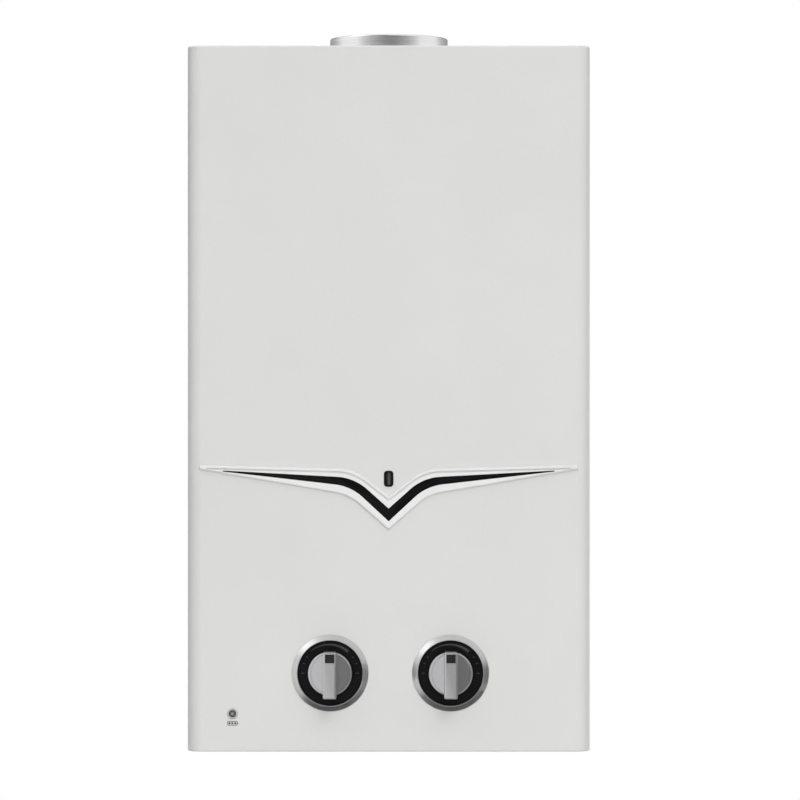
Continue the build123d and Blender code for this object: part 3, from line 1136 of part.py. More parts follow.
HOT_FOOT = DECK_Z + SOCKET_L
HOT_PATH = [(-TUBE_END, HOT_Y, TUBE_Z), (HOT_X, HOT_Y, TUBE_Z), (HOT_X, HOT_Y, HOT_FOOT)]
save(bent_tube(HOT_PATH, PIPE_BEND, PIPE_R, PIPE_T), "hot_pipe")

# Unions: hexagon nuts where the pipes meet the valve, the coil and the hot outlet
with BuildPart() as pipe_unions:
    hexagon((WATER_X, VALVE_REAR, WATER_OUT_Z), (WATER_X, VALVE_REAR + UNION_L, WATER_OUT_Z), UNION_FLATS)
    peg((WATER_X, VALVE_REAR - 1, WATER_OUT_Z), (WATER_X, COIL_REAR, WATER_OUT_Z), PIPE_R, Mode.SUBTRACT)
    hexagon(
        (RISER_X, COIL_REAR, COIL_FOOT - UNION_L / 2),
        (RISER_X, COIL_REAR, COIL_FOOT + UNION_L / 2),
        UNION_FLATS - 4,
    )
    peg((RISER_X, COIL_REAR, COIL_FOOT - UNION_L), (RISER_X, COIL_REAR, COIL_Z), PIPE_R, Mode.SUBTRACT)
    hexagon((HOT_X, HOT_Y, DECK_Z), (HOT_X, HOT_Y, HOT_FOOT + UNION_L / 2), HEX_FLATS - 3)
    peg((HOT_X, HOT_Y, DECK_Z - 1), (HOT_X, HOT_Y, HOT_FOOT), SOCKET_R, Mode.SUBTRACT)
    peg((HOT_X, HOT_Y, DECK_Z - 1), (HOT_X, HOT_Y, HOT_FOOT + UNION_L), PIPE_R, Mode.SUBTRACT)
save(pipe_unions, "pipe_unions")


# Connections: male pipe ends under the bottom plate, screwed up into the valves or the hot union
def make_fitting(port_x, port_y):
    """A hexagon connector with a half-inch outside thread, drawn at its outside size."""
    with BuildPart() as fitting:
        hexagon((port_x, port_y, BASE_Z), (port_x, port_y, BASE_Z - HEX_T), HEX_FLATS)
        peg((port_x, port_y, BASE_Z - HEX_T), (port_x, port_y, BASE_Z - HEX_T - THREAD_L), THREAD_R)
        peg((port_x, port_y, BASE_Z), (port_x, port_y, DECK_Z + SOCKET_L), SOCKET_R)
        bore_end = (port_x, port_y, DECK_Z + SOCKET_L + 1)
        peg((port_x, port_y, -HALF_H), bore_end, PIPE_R - PIPE_T, Mode.SUBTRACT)
    return fitting


save(make_fitting(GAS_IN_X, ROD_Y), "gas_inlet")
save(make_fitting(WATER_X, COLD_Y), "cold_inlet")
save(make_fitting(HOT_X, HOT_Y), "hot_outlet")

with BuildPart() as drain_plug:
    head_top = BASE_Z - SLIP_GAP
    head_low = head_top - DRAIN_HEAD_T
    peg((WATER_X, DRAIN_Y, head_low), (WATER_X, DRAIN_Y, head_top), DRAIN_HEAD_R)
    peg((WATER_X, DRAIN_Y, head_top), (WATER_X, DRAIN_Y, DECK_Z + DRAIN_L), DRAIN_R)
    block(
        (WATER_X - DRAIN_HEAD_R + 0.5, DRAIN_Y - DRAIN_WING_T / 2, head_low - DRAIN_WING_H),
        (WATER_X + DRAIN_HEAD_R - 0.5, DRAIN_Y + DRAIN_WING_T / 2, head_low),
    )
save(drain_plug, "drain_plug")

# Ignition: the pulse box on the rear panel, its two leads and the electrodes over the burners
IGNITER_TOP = DECK_Z + REAR_FLANGE + IGNITER_RISE + IGNITER_H
with BuildPart() as igniter_box:
    block(
        (IGNITER_X - IGNITER_W / 2, PANEL_Y - IGNITER_D, IGNITER_TOP - IGNITER_H),
        (IGNITER_X + IGNITER_W / 2, PANEL_Y, IGNITER_TOP),
    )
    fillet(igniter_box.edges().filter_by(Axis.Y), 3)
    for post_x in (IGNITER_X - POST_X, IGNITER_X + POST_X):
        post_y = PANEL_Y - IGNITER_D / 2
        peg((post_x, post_y, IGNITER_TOP), (post_x, post_y, IGNITER_TOP + POST_H), POST_R)
save(igniter_box, "igniter_box")

with BuildPart() as electrode_insulators:
    for pin_x, pin_z in ELECTRODES:
        outer_y = CORE_FRONT - CERAMIC_OUT
        peg((pin_x, outer_y, pin_z), (pin_x, CORE_FRONT + CERAMIC_IN, pin_z), CERAMIC_R)
        peg((pin_x, CORE_FRONT - CERAMIC_COLLAR_T, pin_z), (pin_x, CORE_FRONT, pin_z), CERAMIC_COLLAR_R)
        peg((pin_x, outer_y + 2, pin_z), (pin_x, CORE_FRONT + CERAMIC_IN + 1, pin_z), WIRE_R, Mode.SUBTRACT)
save(electrode_insulators, "electrode_insulators")

with BuildPart() as electrode_wires:
    for pin_x, pin_z in ELECTRODES:
        tip_y = CORE_FRONT + WIRE_L
        peg((pin_x, CORE_FRONT - CERAMIC_OUT + 2, pin_z), (pin_x, tip_y, pin_z), WIRE_R)
        with Locations((pin_x, tip_y, pin_z)):
            Sphere(WIRE_R)
        peg((pin_x, tip_y, pin_z), (pin_x, tip_y, BURNER_TOP + 4), WIRE_R)
save(electrode_wires, "electrode_wires")


def make_lead(pin_x, pin_z, side_x, post_x, lift):
    """One insulated lead, from an electrode round the burner to its post on the pulse box."""
    start_y = CORE_FRONT - CERAMIC_OUT
    post_y = PANEL_Y - IGNITER_D / 2
    turn_z = IGNITER_TOP + POST_H + 2 * LEAD_BEND + lift
    points = [
        (pin_x, start_y, pin_z),
        (pin_x, start_y - LEAD_BEND - 0.5, pin_z),
        (side_x, start_y - LEAD_BEND - 0.5, pin_z),
        (side_x, post_y, pin_z),
        (side_x, post_y, turn_z),
        (post_x, post_y, turn_z),
        (post_x, post_y, IGNITER_TOP + POST_H),
    ]
    return bent_tube(points, LEAD_BEND, LEAD_R, LEAD_R)


LEAD_X = -CORE_W / 2 - LEAD_OUT
flame_lead = make_lead(*ELECTRODES[0], LEAD_X - 3 * LEAD_R, IGNITER_X - POST_X, 0)
spark_lead = make_lead(*ELECTRODES[1], LEAD_X, IGNITER_X + POST_X, 3 * LEAD_R)
with BuildPart() as electrode_leads:
    add(flame_lead.part)
    add(spark_lead.part)
save(electrode_leads, "electrode_leads")

# Overheat thermostat: a button clipped round the hot pipe
with BuildPart() as overheat_thermostat:
    clip_z = TUBE_Z - CLIP_DROP
    peg((HOT_X, HOT_Y, clip_z - CLIP_L / 2), (HOT_X, HOT_Y, clip_z + CLIP_L / 2), PIPE_R + CLIP_T)
    peg((HOT_X, HOT_Y, clip_z), (HOT_X, HOT_Y - PIPE_R - THERMOSTAT_H, clip_z), THERMOSTAT_R)
    peg((HOT_X, HOT_Y, clip_z - CLIP_L), (HOT_X, HOT_Y, clip_z + CLIP_L), PIPE_R, Mode.SUBTRACT)
save(overheat_thermostat, "overheat_thermostat")

# Battery box: hangs in the bottom plate by its lip, open below, with ears for the lid's hinge
with BuildPart() as battery_box:
    low_x = BOX_X - BOX_W / 2
    high_x = BOX_X + BOX_W / 2
    block((low_x, BOX_FRONT, MOUTH_Z), (high_x, BOX_REAR, BOX_TOP))
    fillet(battery_box.edges().filter_by(Axis.Z), BOX_WALL)
    block(
        (low_x - BOX_LIP, BOX_FRONT - BOX_LIP, DECK_Z),
        (high_x + BOX_LIP, BOX_REAR + BOX_LIP, DECK_Z + BOX_LIP_T),
    )
    for ear_x in (BOX_X - HINGE_HALF - SLIP_GAP - EAR_T, BOX_X + HINGE_HALF + SLIP_GAP):
        block(
            (ear_x, BOX_REAR - BOX_WALL, HINGE_Z + LID_T / 2 + SLIP_GAP),
            (ear_x + EAR_T, HINGE_Y + HINGE_R, BASE_Z - SLIP_GAP),
        )
        block(
            (ear_x, BOX_REAR, HINGE_Z - HINGE_R),
            (ear_x + EAR_T, HINGE_Y + HINGE_R, BASE_Z - SLIP_GAP),
        )
    pin_start = (BOX_X - BOX_W, HINGE_Y, HINGE_Z)
    peg(pin_start, (BOX_X + BOX_W, HINGE_Y, HINGE_Z), HINGE_PIN_R + RUN_GAP, Mode.SUBTRACT)
    block(
        (BOX_X - BOX_IN_W / 2, BOX_Y - BOX_IN_W / 2, MOUTH_Z - 1),
        (BOX_X + BOX_IN_W / 2, BOX_Y + BOX_IN_W / 2, BOX_TOP - BOX_WALL),
        Mode.SUBTRACT,
    )
save(battery_box, "battery_box")

with BuildPart() as battery_lid:
    lid_low = HINGE_Z - LID_T / 2
    lid_high = HINGE_Z + LID_T / 2
    lid_rear = BOX_REAR - BOX_WALL
    lid_front = BOX_FRONT - SLIP_GAP - LATCH_T
    block((BOX_X - BOX_W / 2, lid_front, lid_low), (BOX_X + BOX_W / 2, lid_rear, lid_high))
    fillet(battery_lid.edges().filter_by(Axis.Z), BOX_WALL)
    block((BOX_X - HINGE_HALF, lid_rear - 4, lid_low), (BOX_X + HINGE_HALF, HINGE_Y, lid_high))
    peg((BOX_X - HINGE_HALF, HINGE_Y, HINGE_Z), (BOX_X + HINGE_HALF, HINGE_Y, HINGE_Z), HINGE_R)
    pin_reach = HINGE_HALF + EAR_T
    peg((BOX_X - pin_reach, HINGE_Y, HINGE_Z), (BOX_X + pin_reach, HINGE_Y, HINGE_Z), HINGE_PIN_R)
    block(
        (BOX_X - LATCH_W / 2, BOX_FRONT - SLIP_GAP - LATCH_T, lid_low),
        (BOX_X + LATCH_W / 2, BOX_FRONT - SLIP_GAP, MOUTH_Z + LATCH_H - 2),
    )
save(battery_lid, "battery_lid")

# Cells: two D cells end to end, pressed up against the plate contact at the top of the box
with BuildPart() as battery_cells:
    for can_low in (CELL_Z, CELL_Z + CELL_STEP):
        peg((BOX_X, BOX_Y, can_low), (BOX_X, BOX_Y, can_low + CELL_L - NUB_H), CELL_D / 2)
        peg((BOX_X, BOX_Y, can_low), (BOX_X, BOX_Y, can_low + CELL_L), NUB_R)
save(battery_cells, "battery_cells")

with BuildPart() as battery_contacts:
    peg((BOX_X, BOX_Y, CONTACT_Z), (BOX_X, BOX_Y, CONTACT_Z + CONTACT_T), CONTACT_R)
save(battery_contacts, "battery_contacts")
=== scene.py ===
import math

import bpy
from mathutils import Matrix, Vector


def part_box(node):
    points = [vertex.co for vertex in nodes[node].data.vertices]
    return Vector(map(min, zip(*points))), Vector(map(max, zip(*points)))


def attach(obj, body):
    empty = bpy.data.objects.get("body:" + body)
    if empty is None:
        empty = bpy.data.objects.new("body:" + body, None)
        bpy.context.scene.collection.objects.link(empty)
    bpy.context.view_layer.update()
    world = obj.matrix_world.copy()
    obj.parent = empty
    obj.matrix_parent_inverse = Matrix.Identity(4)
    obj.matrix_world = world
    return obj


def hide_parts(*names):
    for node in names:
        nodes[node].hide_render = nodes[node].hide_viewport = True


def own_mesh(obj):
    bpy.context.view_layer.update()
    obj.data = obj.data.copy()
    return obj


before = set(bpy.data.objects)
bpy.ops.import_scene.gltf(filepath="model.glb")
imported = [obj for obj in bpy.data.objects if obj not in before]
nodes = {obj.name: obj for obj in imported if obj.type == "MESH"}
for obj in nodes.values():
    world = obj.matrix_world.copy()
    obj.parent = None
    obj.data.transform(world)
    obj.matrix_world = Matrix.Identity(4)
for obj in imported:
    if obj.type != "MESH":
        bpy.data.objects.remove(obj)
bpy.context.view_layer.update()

bpy.context.scene.view_settings.view_transform = "Standard"


# Chassis: rear panel, top plate, recessed bottom plate, draught hood and burner frame, folded from
# hot-dip galvanised sheet and riveted. The zinc shows as a patchwork of dull and bright crystals.
def new_finish(name):
    """A new node material and its surface shader."""
    finish = bpy.data.materials.new(name)
    finish.use_nodes = True
    return finish, finish.node_tree.nodes["Principled BSDF"]


def new_node(owner, kind):
    """A new node in the tree that a node or socket belongs to."""
    return owner.id_data.nodes.new("ShaderNode" + kind)


def link(source, target):
    """Link an output to an input."""
    source.id_data.links.new(source, target)


def spot(owner, stretch=(1, 1, 1), centre=(0, 0, 0)):
    """Object coordinates in metres, moved to a centre and stretched."""
    place = new_node(owner, "TexCoord")
    mapping = new_node(owner, "Mapping")
    mapping.vector_type = "TEXTURE"
    mapping.inputs["Location"].default_value = centre
    mapping.inputs["Scale"].default_value = [1 / s for s in stretch]
    link(place.outputs["Object"], mapping.inputs["Vector"])
    return mapping.outputs["Vector"]


def clouds(vector, scale, detail, rough=0.55):
    """Soft noise, so many lumps to the metre."""
    noise = new_node(vector, "TexNoise")
    noise.inputs["Scale"].default_value = scale
    noise.inputs["Detail"].default_value = detail
    noise.inputs["Roughness"].default_value = rough
    link(vector, noise.inputs["Vector"])
    return noise.outputs["Fac"]


def crystals(vector, scale):
    """Cells of random grey, as the spangle of zinc or the flake in a metallic paint."""
    cells = new_node(vector, "TexVoronoi")
    cells.inputs["Scale"].default_value = scale
    link(vector, cells.inputs["Vector"])
    return cells.outputs["Color"]


def shades(source, *stops):
    """A ramp from one texture value to colours or greys."""
    ramp = new_node(source, "ValToRGB")
    while len(ramp.color_ramp.elements) < len(stops):
        ramp.color_ramp.elements.new(0.5)
    for element, (place, colour) in zip(ramp.color_ramp.elements, stops):
        element.position = place
        element.color = (*colour, 1) if isinstance(colour, tuple) else (colour, colour, colour, 1)
    link(source, ramp.inputs["Fac"])
    return ramp.outputs["Color"]


def tint(surface, socket, source, *stops):
    """Drive one socket of a surface by a ramp."""
    link(shades(source, *stops), surface.inputs[socket])


def relief(surface, height, depth, strength):
    """Bump of a given depth in metres."""
    bump = new_node(surface, "Bump")
    bump.inputs["Strength"].default_value = strength
    bump.inputs["Distance"].default_value = depth
    link(height, bump.inputs["Height"])
    link(bump.outputs["Normal"], surface.inputs["Normal"])


def dress(finish, *names):
    """Give a finish to pieces that keep their own shape."""
    for name in names:
        nodes[name].material_slots[0].material = finish


zinc_sheet, surface = new_finish("zinc_sheet")
where = spot(surface)
surface.inputs["Metallic"].default_value = 0.85
tint(surface, "Base Color", crystals(where, 120), (0.1, (0.52, 0.54, 0.55)), (0.9, (0.62, 0.64, 0.65)))
tint(surface, "Roughness", clouds(where, 22, 8), (0.3, 0.34), (0.75, 0.58))
relief(surface, clouds(where, 260, 3), 0.0002, 0.25)
dress(zinc_sheet, "rear_panel", "top_plate", "bottom_plate")
dress(zinc_sheet, "draught_hood", "burner_frame", "chassis_rivets")

# Heat exchanger: a brazed copper box with fins, tubes and a water coil soldered round it, and the cold
# and hot pipes of the same tube. Soldering heat leaves brown and rosy clouds on the bare copper.
STAINED_COPPER, DULL_COPPER, ROSY_COPPER = (0.30, 0.12, 0.07), (0.62, 0.28, 0.17), (0.78, 0.42, 0.30)
copper_tube, surface = new_finish("copper_tube")
where = spot(surface)
heat_stain = clouds(where, 26, 6, 0.62)
surface.inputs["Metallic"].default_value = 1.0
tint(surface, "Base Color", heat_stain, (0.3, STAINED_COPPER), (0.5, DULL_COPPER), (0.72, ROSY_COPPER))
tint(surface, "Roughness", heat_stain, (0.3, 0.5), (0.7, 0.26))
relief(surface, clouds(where, 900, 2), 0.0001, 0.2)
dress(copper_tube, "exchanger_shell", "exchanger_fins", "exchanger_tubes")
dress(copper_tube, "water_coil", "cold_pipe", "hot_pipe")


# Burner bars: thin stainless blades, pressed in halves, spot-welded and slid into the burner frame.
# Their heads turn straw and then blue over the flames.
def along(vector, axis):
    """One coordinate of a vector."""
    split = new_node(vector, "SeparateXYZ")
    link(vector, split.inputs["Vector"])
    return split.outputs[axis]


BLADE_FOOT, RISE_SCALE = -0.178, 12
BARE_STEEL, STRAW = (0.55, 0.54, 0.52), (0.52, 0.42, 0.26)
PURPLE, BLUE = (0.32, 0.22, 0.28), (0.22, 0.27, 0.42)
burner_steel, surface = new_finish("burner_steel")
rise = along(spot(surface, (1, 1, RISE_SCALE), (0, 0, BLADE_FOOT)), "Z")
surface.inputs["Metallic"].default_value = 1.0
tint(surface, "Base Color", rise, (0.45, BARE_STEEL), (0.72, STRAW), (0.85, PURPLE), (0.95, BLUE))
tint(surface, "Roughness", clouds(spot(surface), 120, 5), (0.3, 0.28), (0.7, 0.48))
dress(burner_steel, "burner_bars")


# Valves and manifold: pressure die castings in aluminium alloy, shot-blasted and left bare. The valves
# are held to the bottom plate by the pipe connections.
def mottled(name, colours, roughness, grain=(), metallic=0.0, specular=0.5):
    """A finish whose colour and roughness wander: lumps to the metre, detail, and the stops of each ramp.

    A grain is lumps to the metre, detail, depth in metres and strength.
    """
    finish, surface = new_finish(name)
    where = spot(surface)
    surface.inputs["Metallic"].default_value = metallic
    surface.inputs["Specular IOR Level"].default_value = specular
    for socket, (scale, detail, *stops) in (("Base Color", colours), ("Roughness", roughness)):
        tint(surface, socket, clouds(where, scale, detail), *stops)
    if grain:
        scale, detail, depth, strength = grain
        relief(surface, clouds(where, scale, detail), depth, strength)
    return finish


cast_alloy = mottled(
    "cast_alloy",
    colours=(45, 5, (0.3, (0.46, 0.46, 0.45)), (0.7, (0.60, 0.60, 0.59))),
    roughness=(300, 3, (0.3, 0.42), (0.7, 0.62)),
    grain=(1800, 2, 0.00015, 0.5),
    metallic=0.9,
)
dress(cast_alloy, "gas_valve_body", "water_valve_body", "diaphragm_cover", "gas_manifold")

# Brass: spindles, glands, jets and unions cut on a lathe, and the pressed battery contacts.
# Fine turning marks and a little brown tarnish stay on them.
BROWN_BRASS, DULL_BRASS, CLEAN_BRASS = (0.42, 0.27, 0.10), (0.68, 0.48, 0.20), (0.76, 0.57, 0.28)
turned_brass, surface = new_finish("turned_brass")
tarnish = clouds(spot(surface), 70, 6)
surface.inputs["Metallic"].default_value = 1.0
tint(surface, "Base Color", tarnish, (0.3, BROWN_BRASS), (0.55, DULL_BRASS), (0.75, CLEAN_BRASS))
tint(surface, "Roughness", tarnish, (0.3, 0.42), (0.7, 0.2))
relief(surface, clouds(spot(surface, (1, 1, 30)), 120, 2), 0.00008, 0.3)
dress(turned_brass, "gas_spindle", "water_spindle", "spindle_glands")
dress(turned_brass, "gas_jets", "pipe_unions", "battery_contacts")

# Small steel: push rod, screws, overheat thermostat and electrode wires, cut or pressed from steel.
# The zinc plating is bright, with a few dull patches.
plated_steel = mottled(
    "plated_steel",
    colours=(160, 5, (0.3, (0.46, 0.46, 0.44)), (0.7, (0.64, 0.65, 0.67))),
    roughness=(600, 3, (0.3, 0.22), (0.7, 0.4)),
    metallic=1.0,
)
dress(plated_steel, "push_rod", "cover_screws", "valve_screws", "overheat_thermostat", "electrode_wires")

# Rubber: the diaphragm, the spindle rings and the gas poppet, moulded, and clamped or stretched in place.
# It is black, matt and slightly dusty.
black_rubber = mottled(
    "black_rubber",
    colours=(90, 6, (0.35, (0.018, 0.018, 0.018)), (0.8, (0.06, 0.058, 0.055))),
    roughness=(400, 3, (0.3, 0.55), (0.7, 0.8)),
    grain=(2500, 2, 0.00006, 0.4),
)
dress(black_rubber, "diaphragm", "spindle_seals", "gas_poppet")

# Solenoid: a drawn steel can flanged on to the gas valve and dipped in dark blue paint.
# The coat has runs and thin places.
blue_can = mottled(
    "blue_can",
    colours=(120, 4, (0.3, (0.02, 0.035, 0.08)), (0.75, (0.045, 0.075, 0.15))),
    roughness=(300, 3, (0.3, 0.25), (0.7, 0.45)),
    grain=(700, 2, 0.0001, 0.3),
)
dress(blue_can, "solenoid_valve")

# Electrode insulators: white ceramic, pressed, fired and glazed, slid over the electrode wires.
# A faint warm mottle shows under the glaze.
glazed_ceramic = mottled(
    "glazed_ceramic",
    colours=(200, 5, (0.3, (0.74, 0.70, 0.62)), (0.7, (0.84, 0.82, 0.77))),
    roughness=(500, 2, (0.3, 0.12), (0.7, 0.3)),
)
dress(glazed_ceramic, "electrode_insulators")

# Grey mouldings: the igniter box, the battery box and the switch plunger, in ABS. Their moulds were
# spark-eroded, which leaves a fine even grain.
grey_moulding = mottled(
    "grey_moulding",
    colours=(60, 4, (0.3, (0.085, 0.088, 0.092)), (0.7, (0.115, 0.118, 0.122))),
    roughness=(900, 2, (0.3, 0.42), (0.7, 0.58)),
    grain=(3200, 2, 0.00006, 0.6),
)
dress(grey_moulding, "igniter_box", "battery_box", "switch_plunger")


# Cells: two D cells end to end in the battery box, steel cans in a plain printed sleeve. The sleeve is
# dark with a gold band at the top, and bare steel shows at both ends.
def calculate(operation, *values):
    """The result of a sum on sockets and plain numbers, the first of them a socket."""
    step = new_node(values[0], "Math")
    step.operation = operation
    for place, value in zip(step.inputs, values):
        if isinstance(value, float):
            place.default_value = value
        else:
            link(value, place)
    return step.outputs[0]


CELL_L, CELLS_FOOT = 0.06155, -0.2652
STEEL_FOOT, STEEL_TOP = (0.50, 0.50, 0.50), (0.55, 0.55, 0.55)
DARK_SLEEVE, GOLD_BAND = (0.02, 0.03, 0.055), (0.60, 0.42, 0.18)
cell_sleeve, surface = new_finish("cell_sleeve")
up_the_cell = calculate("FRACT", along(spot(surface, (1, 1, 1 / CELL_L), (0, 0, CELLS_FOOT)), "Z"))
bands = shades(up_the_cell, (0.0, STEEL_FOOT), (0.05, DARK_SLEEVE), (0.70, GOLD_BAND), (0.93, STEEL_TOP))
bands.node.color_ramp.interpolation = "CONSTANT"
link(bands, surface.inputs["Base Color"])
surface.inputs["Metallic"].default_value = 0.6
tint(surface, "Roughness", clouds(spot(surface), 300, 3), (0.3, 0.22), (0.7, 0.36))
dress(cell_sleeve, "battery_cells")

# Microswitch: a small moulded box of black phenolic, fixed to the water valve above the push rod.
# The knobs' pointer inserts have the same finish.
black_moulding = mottled(
    "black_moulding",
    colours=(150, 4, (0.3, (0.010, 0.010, 0.011)), (0.7, (0.020, 0.020, 0.021))),
    roughness=(700, 3, (0.3, 0.3), (0.7, 0.45)),
    grain=(3000, 2, 0.00004, 0.5),
    specular=0.25,
)
dress(black_moulding, "microswitch")

# Ignition leads: two silicone-sleeved wires from the igniter box, round the burner's left side to
# the electrodes. The sleeve is soft, so they run in easy curves.
LEAD_R = 0.0018
LEAD_ROUTES = {
    "flame_lead": [
        (-0.0340, -0.1500, -0.0850),
        (-0.0340, -0.1545, -0.0850),
        (-0.0700, -0.1548, -0.0852),
        (-0.1154, -0.1545, -0.0850),
        (-0.1154, -0.0800, -0.0870),
        (-0.1154, -0.0130, -0.0850),
        (-0.1154, -0.0130, -0.1300),
        (-0.1100, -0.0130, -0.1770),
        (-0.0760, -0.0130, -0.1760),
        (-0.0760, -0.0130, -0.1850),
    ],
    "spark_lead": [
        (-0.0620, -0.1500, -0.0900),
        (-0.0620, -0.1545, -0.0900),
        (-0.0850, -0.1548, -0.0902),
        (-0.1100, -0.1545, -0.0900),
        (-0.1100, -0.0800, -0.0920),
        (-0.1100, -0.0130, -0.0900),
        (-0.1100, -0.0130, -0.1300),
        (-0.1050, -0.0130, -0.1716),
        (-0.0280, -0.0130, -0.1716),
        (-0.0280, -0.0130, -0.1850),
    ],
}
silicone_sleeve = mottled(
    "silicone_sleeve",
    colours=(110, 5, (0.3, (0.20, 0.025, 0.018)), (0.7, (0.30, 0.045, 0.03))),
    roughness=(500, 3, (0.3, 0.42), (0.7, 0.6)),
)
leads = []
for name, route in LEAD_ROUTES.items():
    line = bpy.data.curves.new(name, "CURVE")
    line.dimensions = "3D"
    line.bevel_depth = LEAD_R
    line.bevel_resolution = 4
    line.resolution_u = 10
    line.use_fill_caps = True
    run = line.splines.new("NURBS")
    run.points.add(len(route) - 1)
    for point, place in zip(run.points, route):
        point.co = (*place, 1)
    run.order_u = 3
    run.use_endpoint_u = True
    line.materials.append(silicone_sleeve)
    lead = bpy.data.objects.new(name, line)
    bpy.context.scene.collection.objects.link(lead)
    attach(lead, "heater")
    leads.append(lead)
for lead in leads:
    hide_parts("electrode_leads")


# Pipe connections: gas, cold and hot, hexagon brass ends with a half-inch outside thread, screwed up
# through the bottom plate. Turned, chamfered and left bright.
def clear_hands():
    """Leave edit mode and let go of everything."""
    if bpy.context.object and bpy.context.object.mode != "OBJECT":
        bpy.ops.object.mode_set(mode="OBJECT")
    bpy.ops.object.select_all(action="DESELECT")


def named(name):
    """Name the primitive that was just added."""
    piece = bpy.context.object
    piece.name = name
    return piece


def hold(*pieces):
    """Select pieces, the last one active."""
    clear_hands()
    for piece in pieces:
        piece.select_set(True)
    bpy.context.view_layer.objects.active = pieces[-1]


def open_up(piece):
    """Go into edit mode with the whole piece selected."""
    hold(piece)
    bpy.ops.object.mode_set(mode="EDIT")
    bpy.ops.mesh.select_all(action="SELECT")


def choose(piece, kind, test):
    """In edit mode, select the faces, edges or points that a test on their place accepts."""
    hold(piece)
    bpy.ops.object.mode_set(mode="EDIT")
    bpy.ops.mesh.select_mode(type=kind)
    bpy.ops.mesh.select_all(action="DESELECT")
    bpy.ops.object.mode_set(mode="OBJECT")
    points = piece.data.vertices
    if kind == "FACE":
        for face in piece.data.polygons:
            face.select = test(face.center, face.normal)
    elif kind == "EDGE":
        for edge in piece.data.edges:
            edge.select = test(points[edge.vertices[0]].co, points[edge.vertices[1]].co)
    else:
        for point in points:
            point.select = test(point.co)
    bpy.ops.object.mode_set(mode="EDIT")


def level(a, b):
    """Whether an edge lies flat."""
    return abs(a.z - b.z) < 1e-6


def round_edges(piece, test, width, steps=3):
    """Bevel the edges that a test on their two ends accepts."""
    choose(piece, "EDGE", test)
    bpy.ops.mesh.bevel(offset=width, segments=steps, profile=0.5, affect="EDGES")
    clear_hands()


def slice_off(piece, place, normal, outer=True):
    """Cut a piece through at a plane, throw away the side outside or inside it and close the cut."""
    open_up(piece)
    bpy.ops.mesh.bisect(
        plane_co=place,
        plane_no=normal,
        use_fill=True,
        clear_outer=outer,
        clear_inner=not outer,
        threshold=1e-7,
    )
    clear_hands()


def heal(piece, gap=0.0):
    """Weld points that lie within a gap, and turn all faces outwards."""
    open_up(piece)
    if gap:
        bpy.ops.mesh.remove_doubles(threshold=gap)
    bpy.ops.mesh.normals_make_consistent(inside=False)
    clear_hands()


def bar(name, radius, low, high, sides=64):
    """A round bar along Z from one height to another."""
    clear_hands()
    middle = (0, 0, (low + high) / 2)
    bpy.ops.mesh.primitive_cylinder_add(vertices=sides, radius=radius, depth=high - low, location=middle)
    piece = named(name)
    bpy.ops.object.transform_apply(location=True, rotation=True, scale=True)
    return piece


def apply_step(piece, step):
    """Make a modifier's result the piece's own mesh."""
    hold(piece)
    bpy.ops.object.modifier_apply(modifier=step.name)


def carve(piece, tool, way="DIFFERENCE"):
    """Cut or meet a piece with a tool, and throw the tool away."""
    step = piece.modifiers.new("carve", "BOOLEAN")
    step.operation = way
    step.solver = "EXACT"
    step.object = tool
    apply_step(piece, step)
    bpy.data.objects.remove(tool)


def weld(name, *pieces):
    """Join pieces into one."""
    hold(*pieces)
    bpy.ops.object.join()
    return named(name)


def settle(piece, finish, body, slot, *replaced):
    """Put a finished piece's place in its mesh, give it its finish and fix it to its body."""
    hold(piece)
    bpy.ops.object.transform_apply(location=True, rotation=True, scale=True)
    bpy.ops.object.shade_smooth_by_angle(angle=SMOOTH_BELOW)
    piece.data.materials.clear()
    piece.data.materials.append(finish)
    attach(piece, body)
    if replaced:
        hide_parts(*replaced)


def twin(piece, name):
    """A copy of a piece with a mesh of its own."""
    copy = piece.copy()
    copy.data = piece.data.copy()
    copy.name = name
    bpy.context.scene.collection.objects.link(copy)
    return copy


SMOOTH_BELOW = math.radians(32)
DECK_UNDERSIDE = -0.261
HEX_FLATS, HEX_T, HEX_CHAMFER, HEX_TURNED = 0.027, 0.006, 0.0011, 0.0016
THREAD_R, THREAD_ROOT, THREAD_L, THREAD_PITCH = 0.01048, 0.00936, 0.015, 0.001814
THREAD_TURNS, THREAD_STEPS, THREAD_LEAD_IN = 11, 40, 0.0012
CREST_ROUND = 0.0001
SPIGOT_R, SPIGOT_L, BORE_R = 0.0089, 0.013, 0.0052
WASHER_RIM, WASHER_T = 0.0012, 0.0008
CONNECTIONS = {"gas_inlet": (-0.0629, -0.090), "cold_inlet": (0.0507, -0.090), "hot_outlet": (-0.134, -0.034)}
thread_top, thread_end = 0.0004 - HEX_T, -HEX_T - THREAD_L

hexagon = bar("hexagon", HEX_FLATS / 2 / math.cos(math.pi / 6), -HEX_T, 0, 6)
hexagon.rotation_euler.z = math.pi / 2
hold(hexagon)
bpy.ops.object.transform_apply(rotation=True)
turned = bar("turned", HEX_FLATS / 2 + HEX_TURNED, -HEX_T, 0, 96)
round_edges(turned, level, HEX_CHAMFER, 1)
carve(hexagon, turned, "INTERSECT")

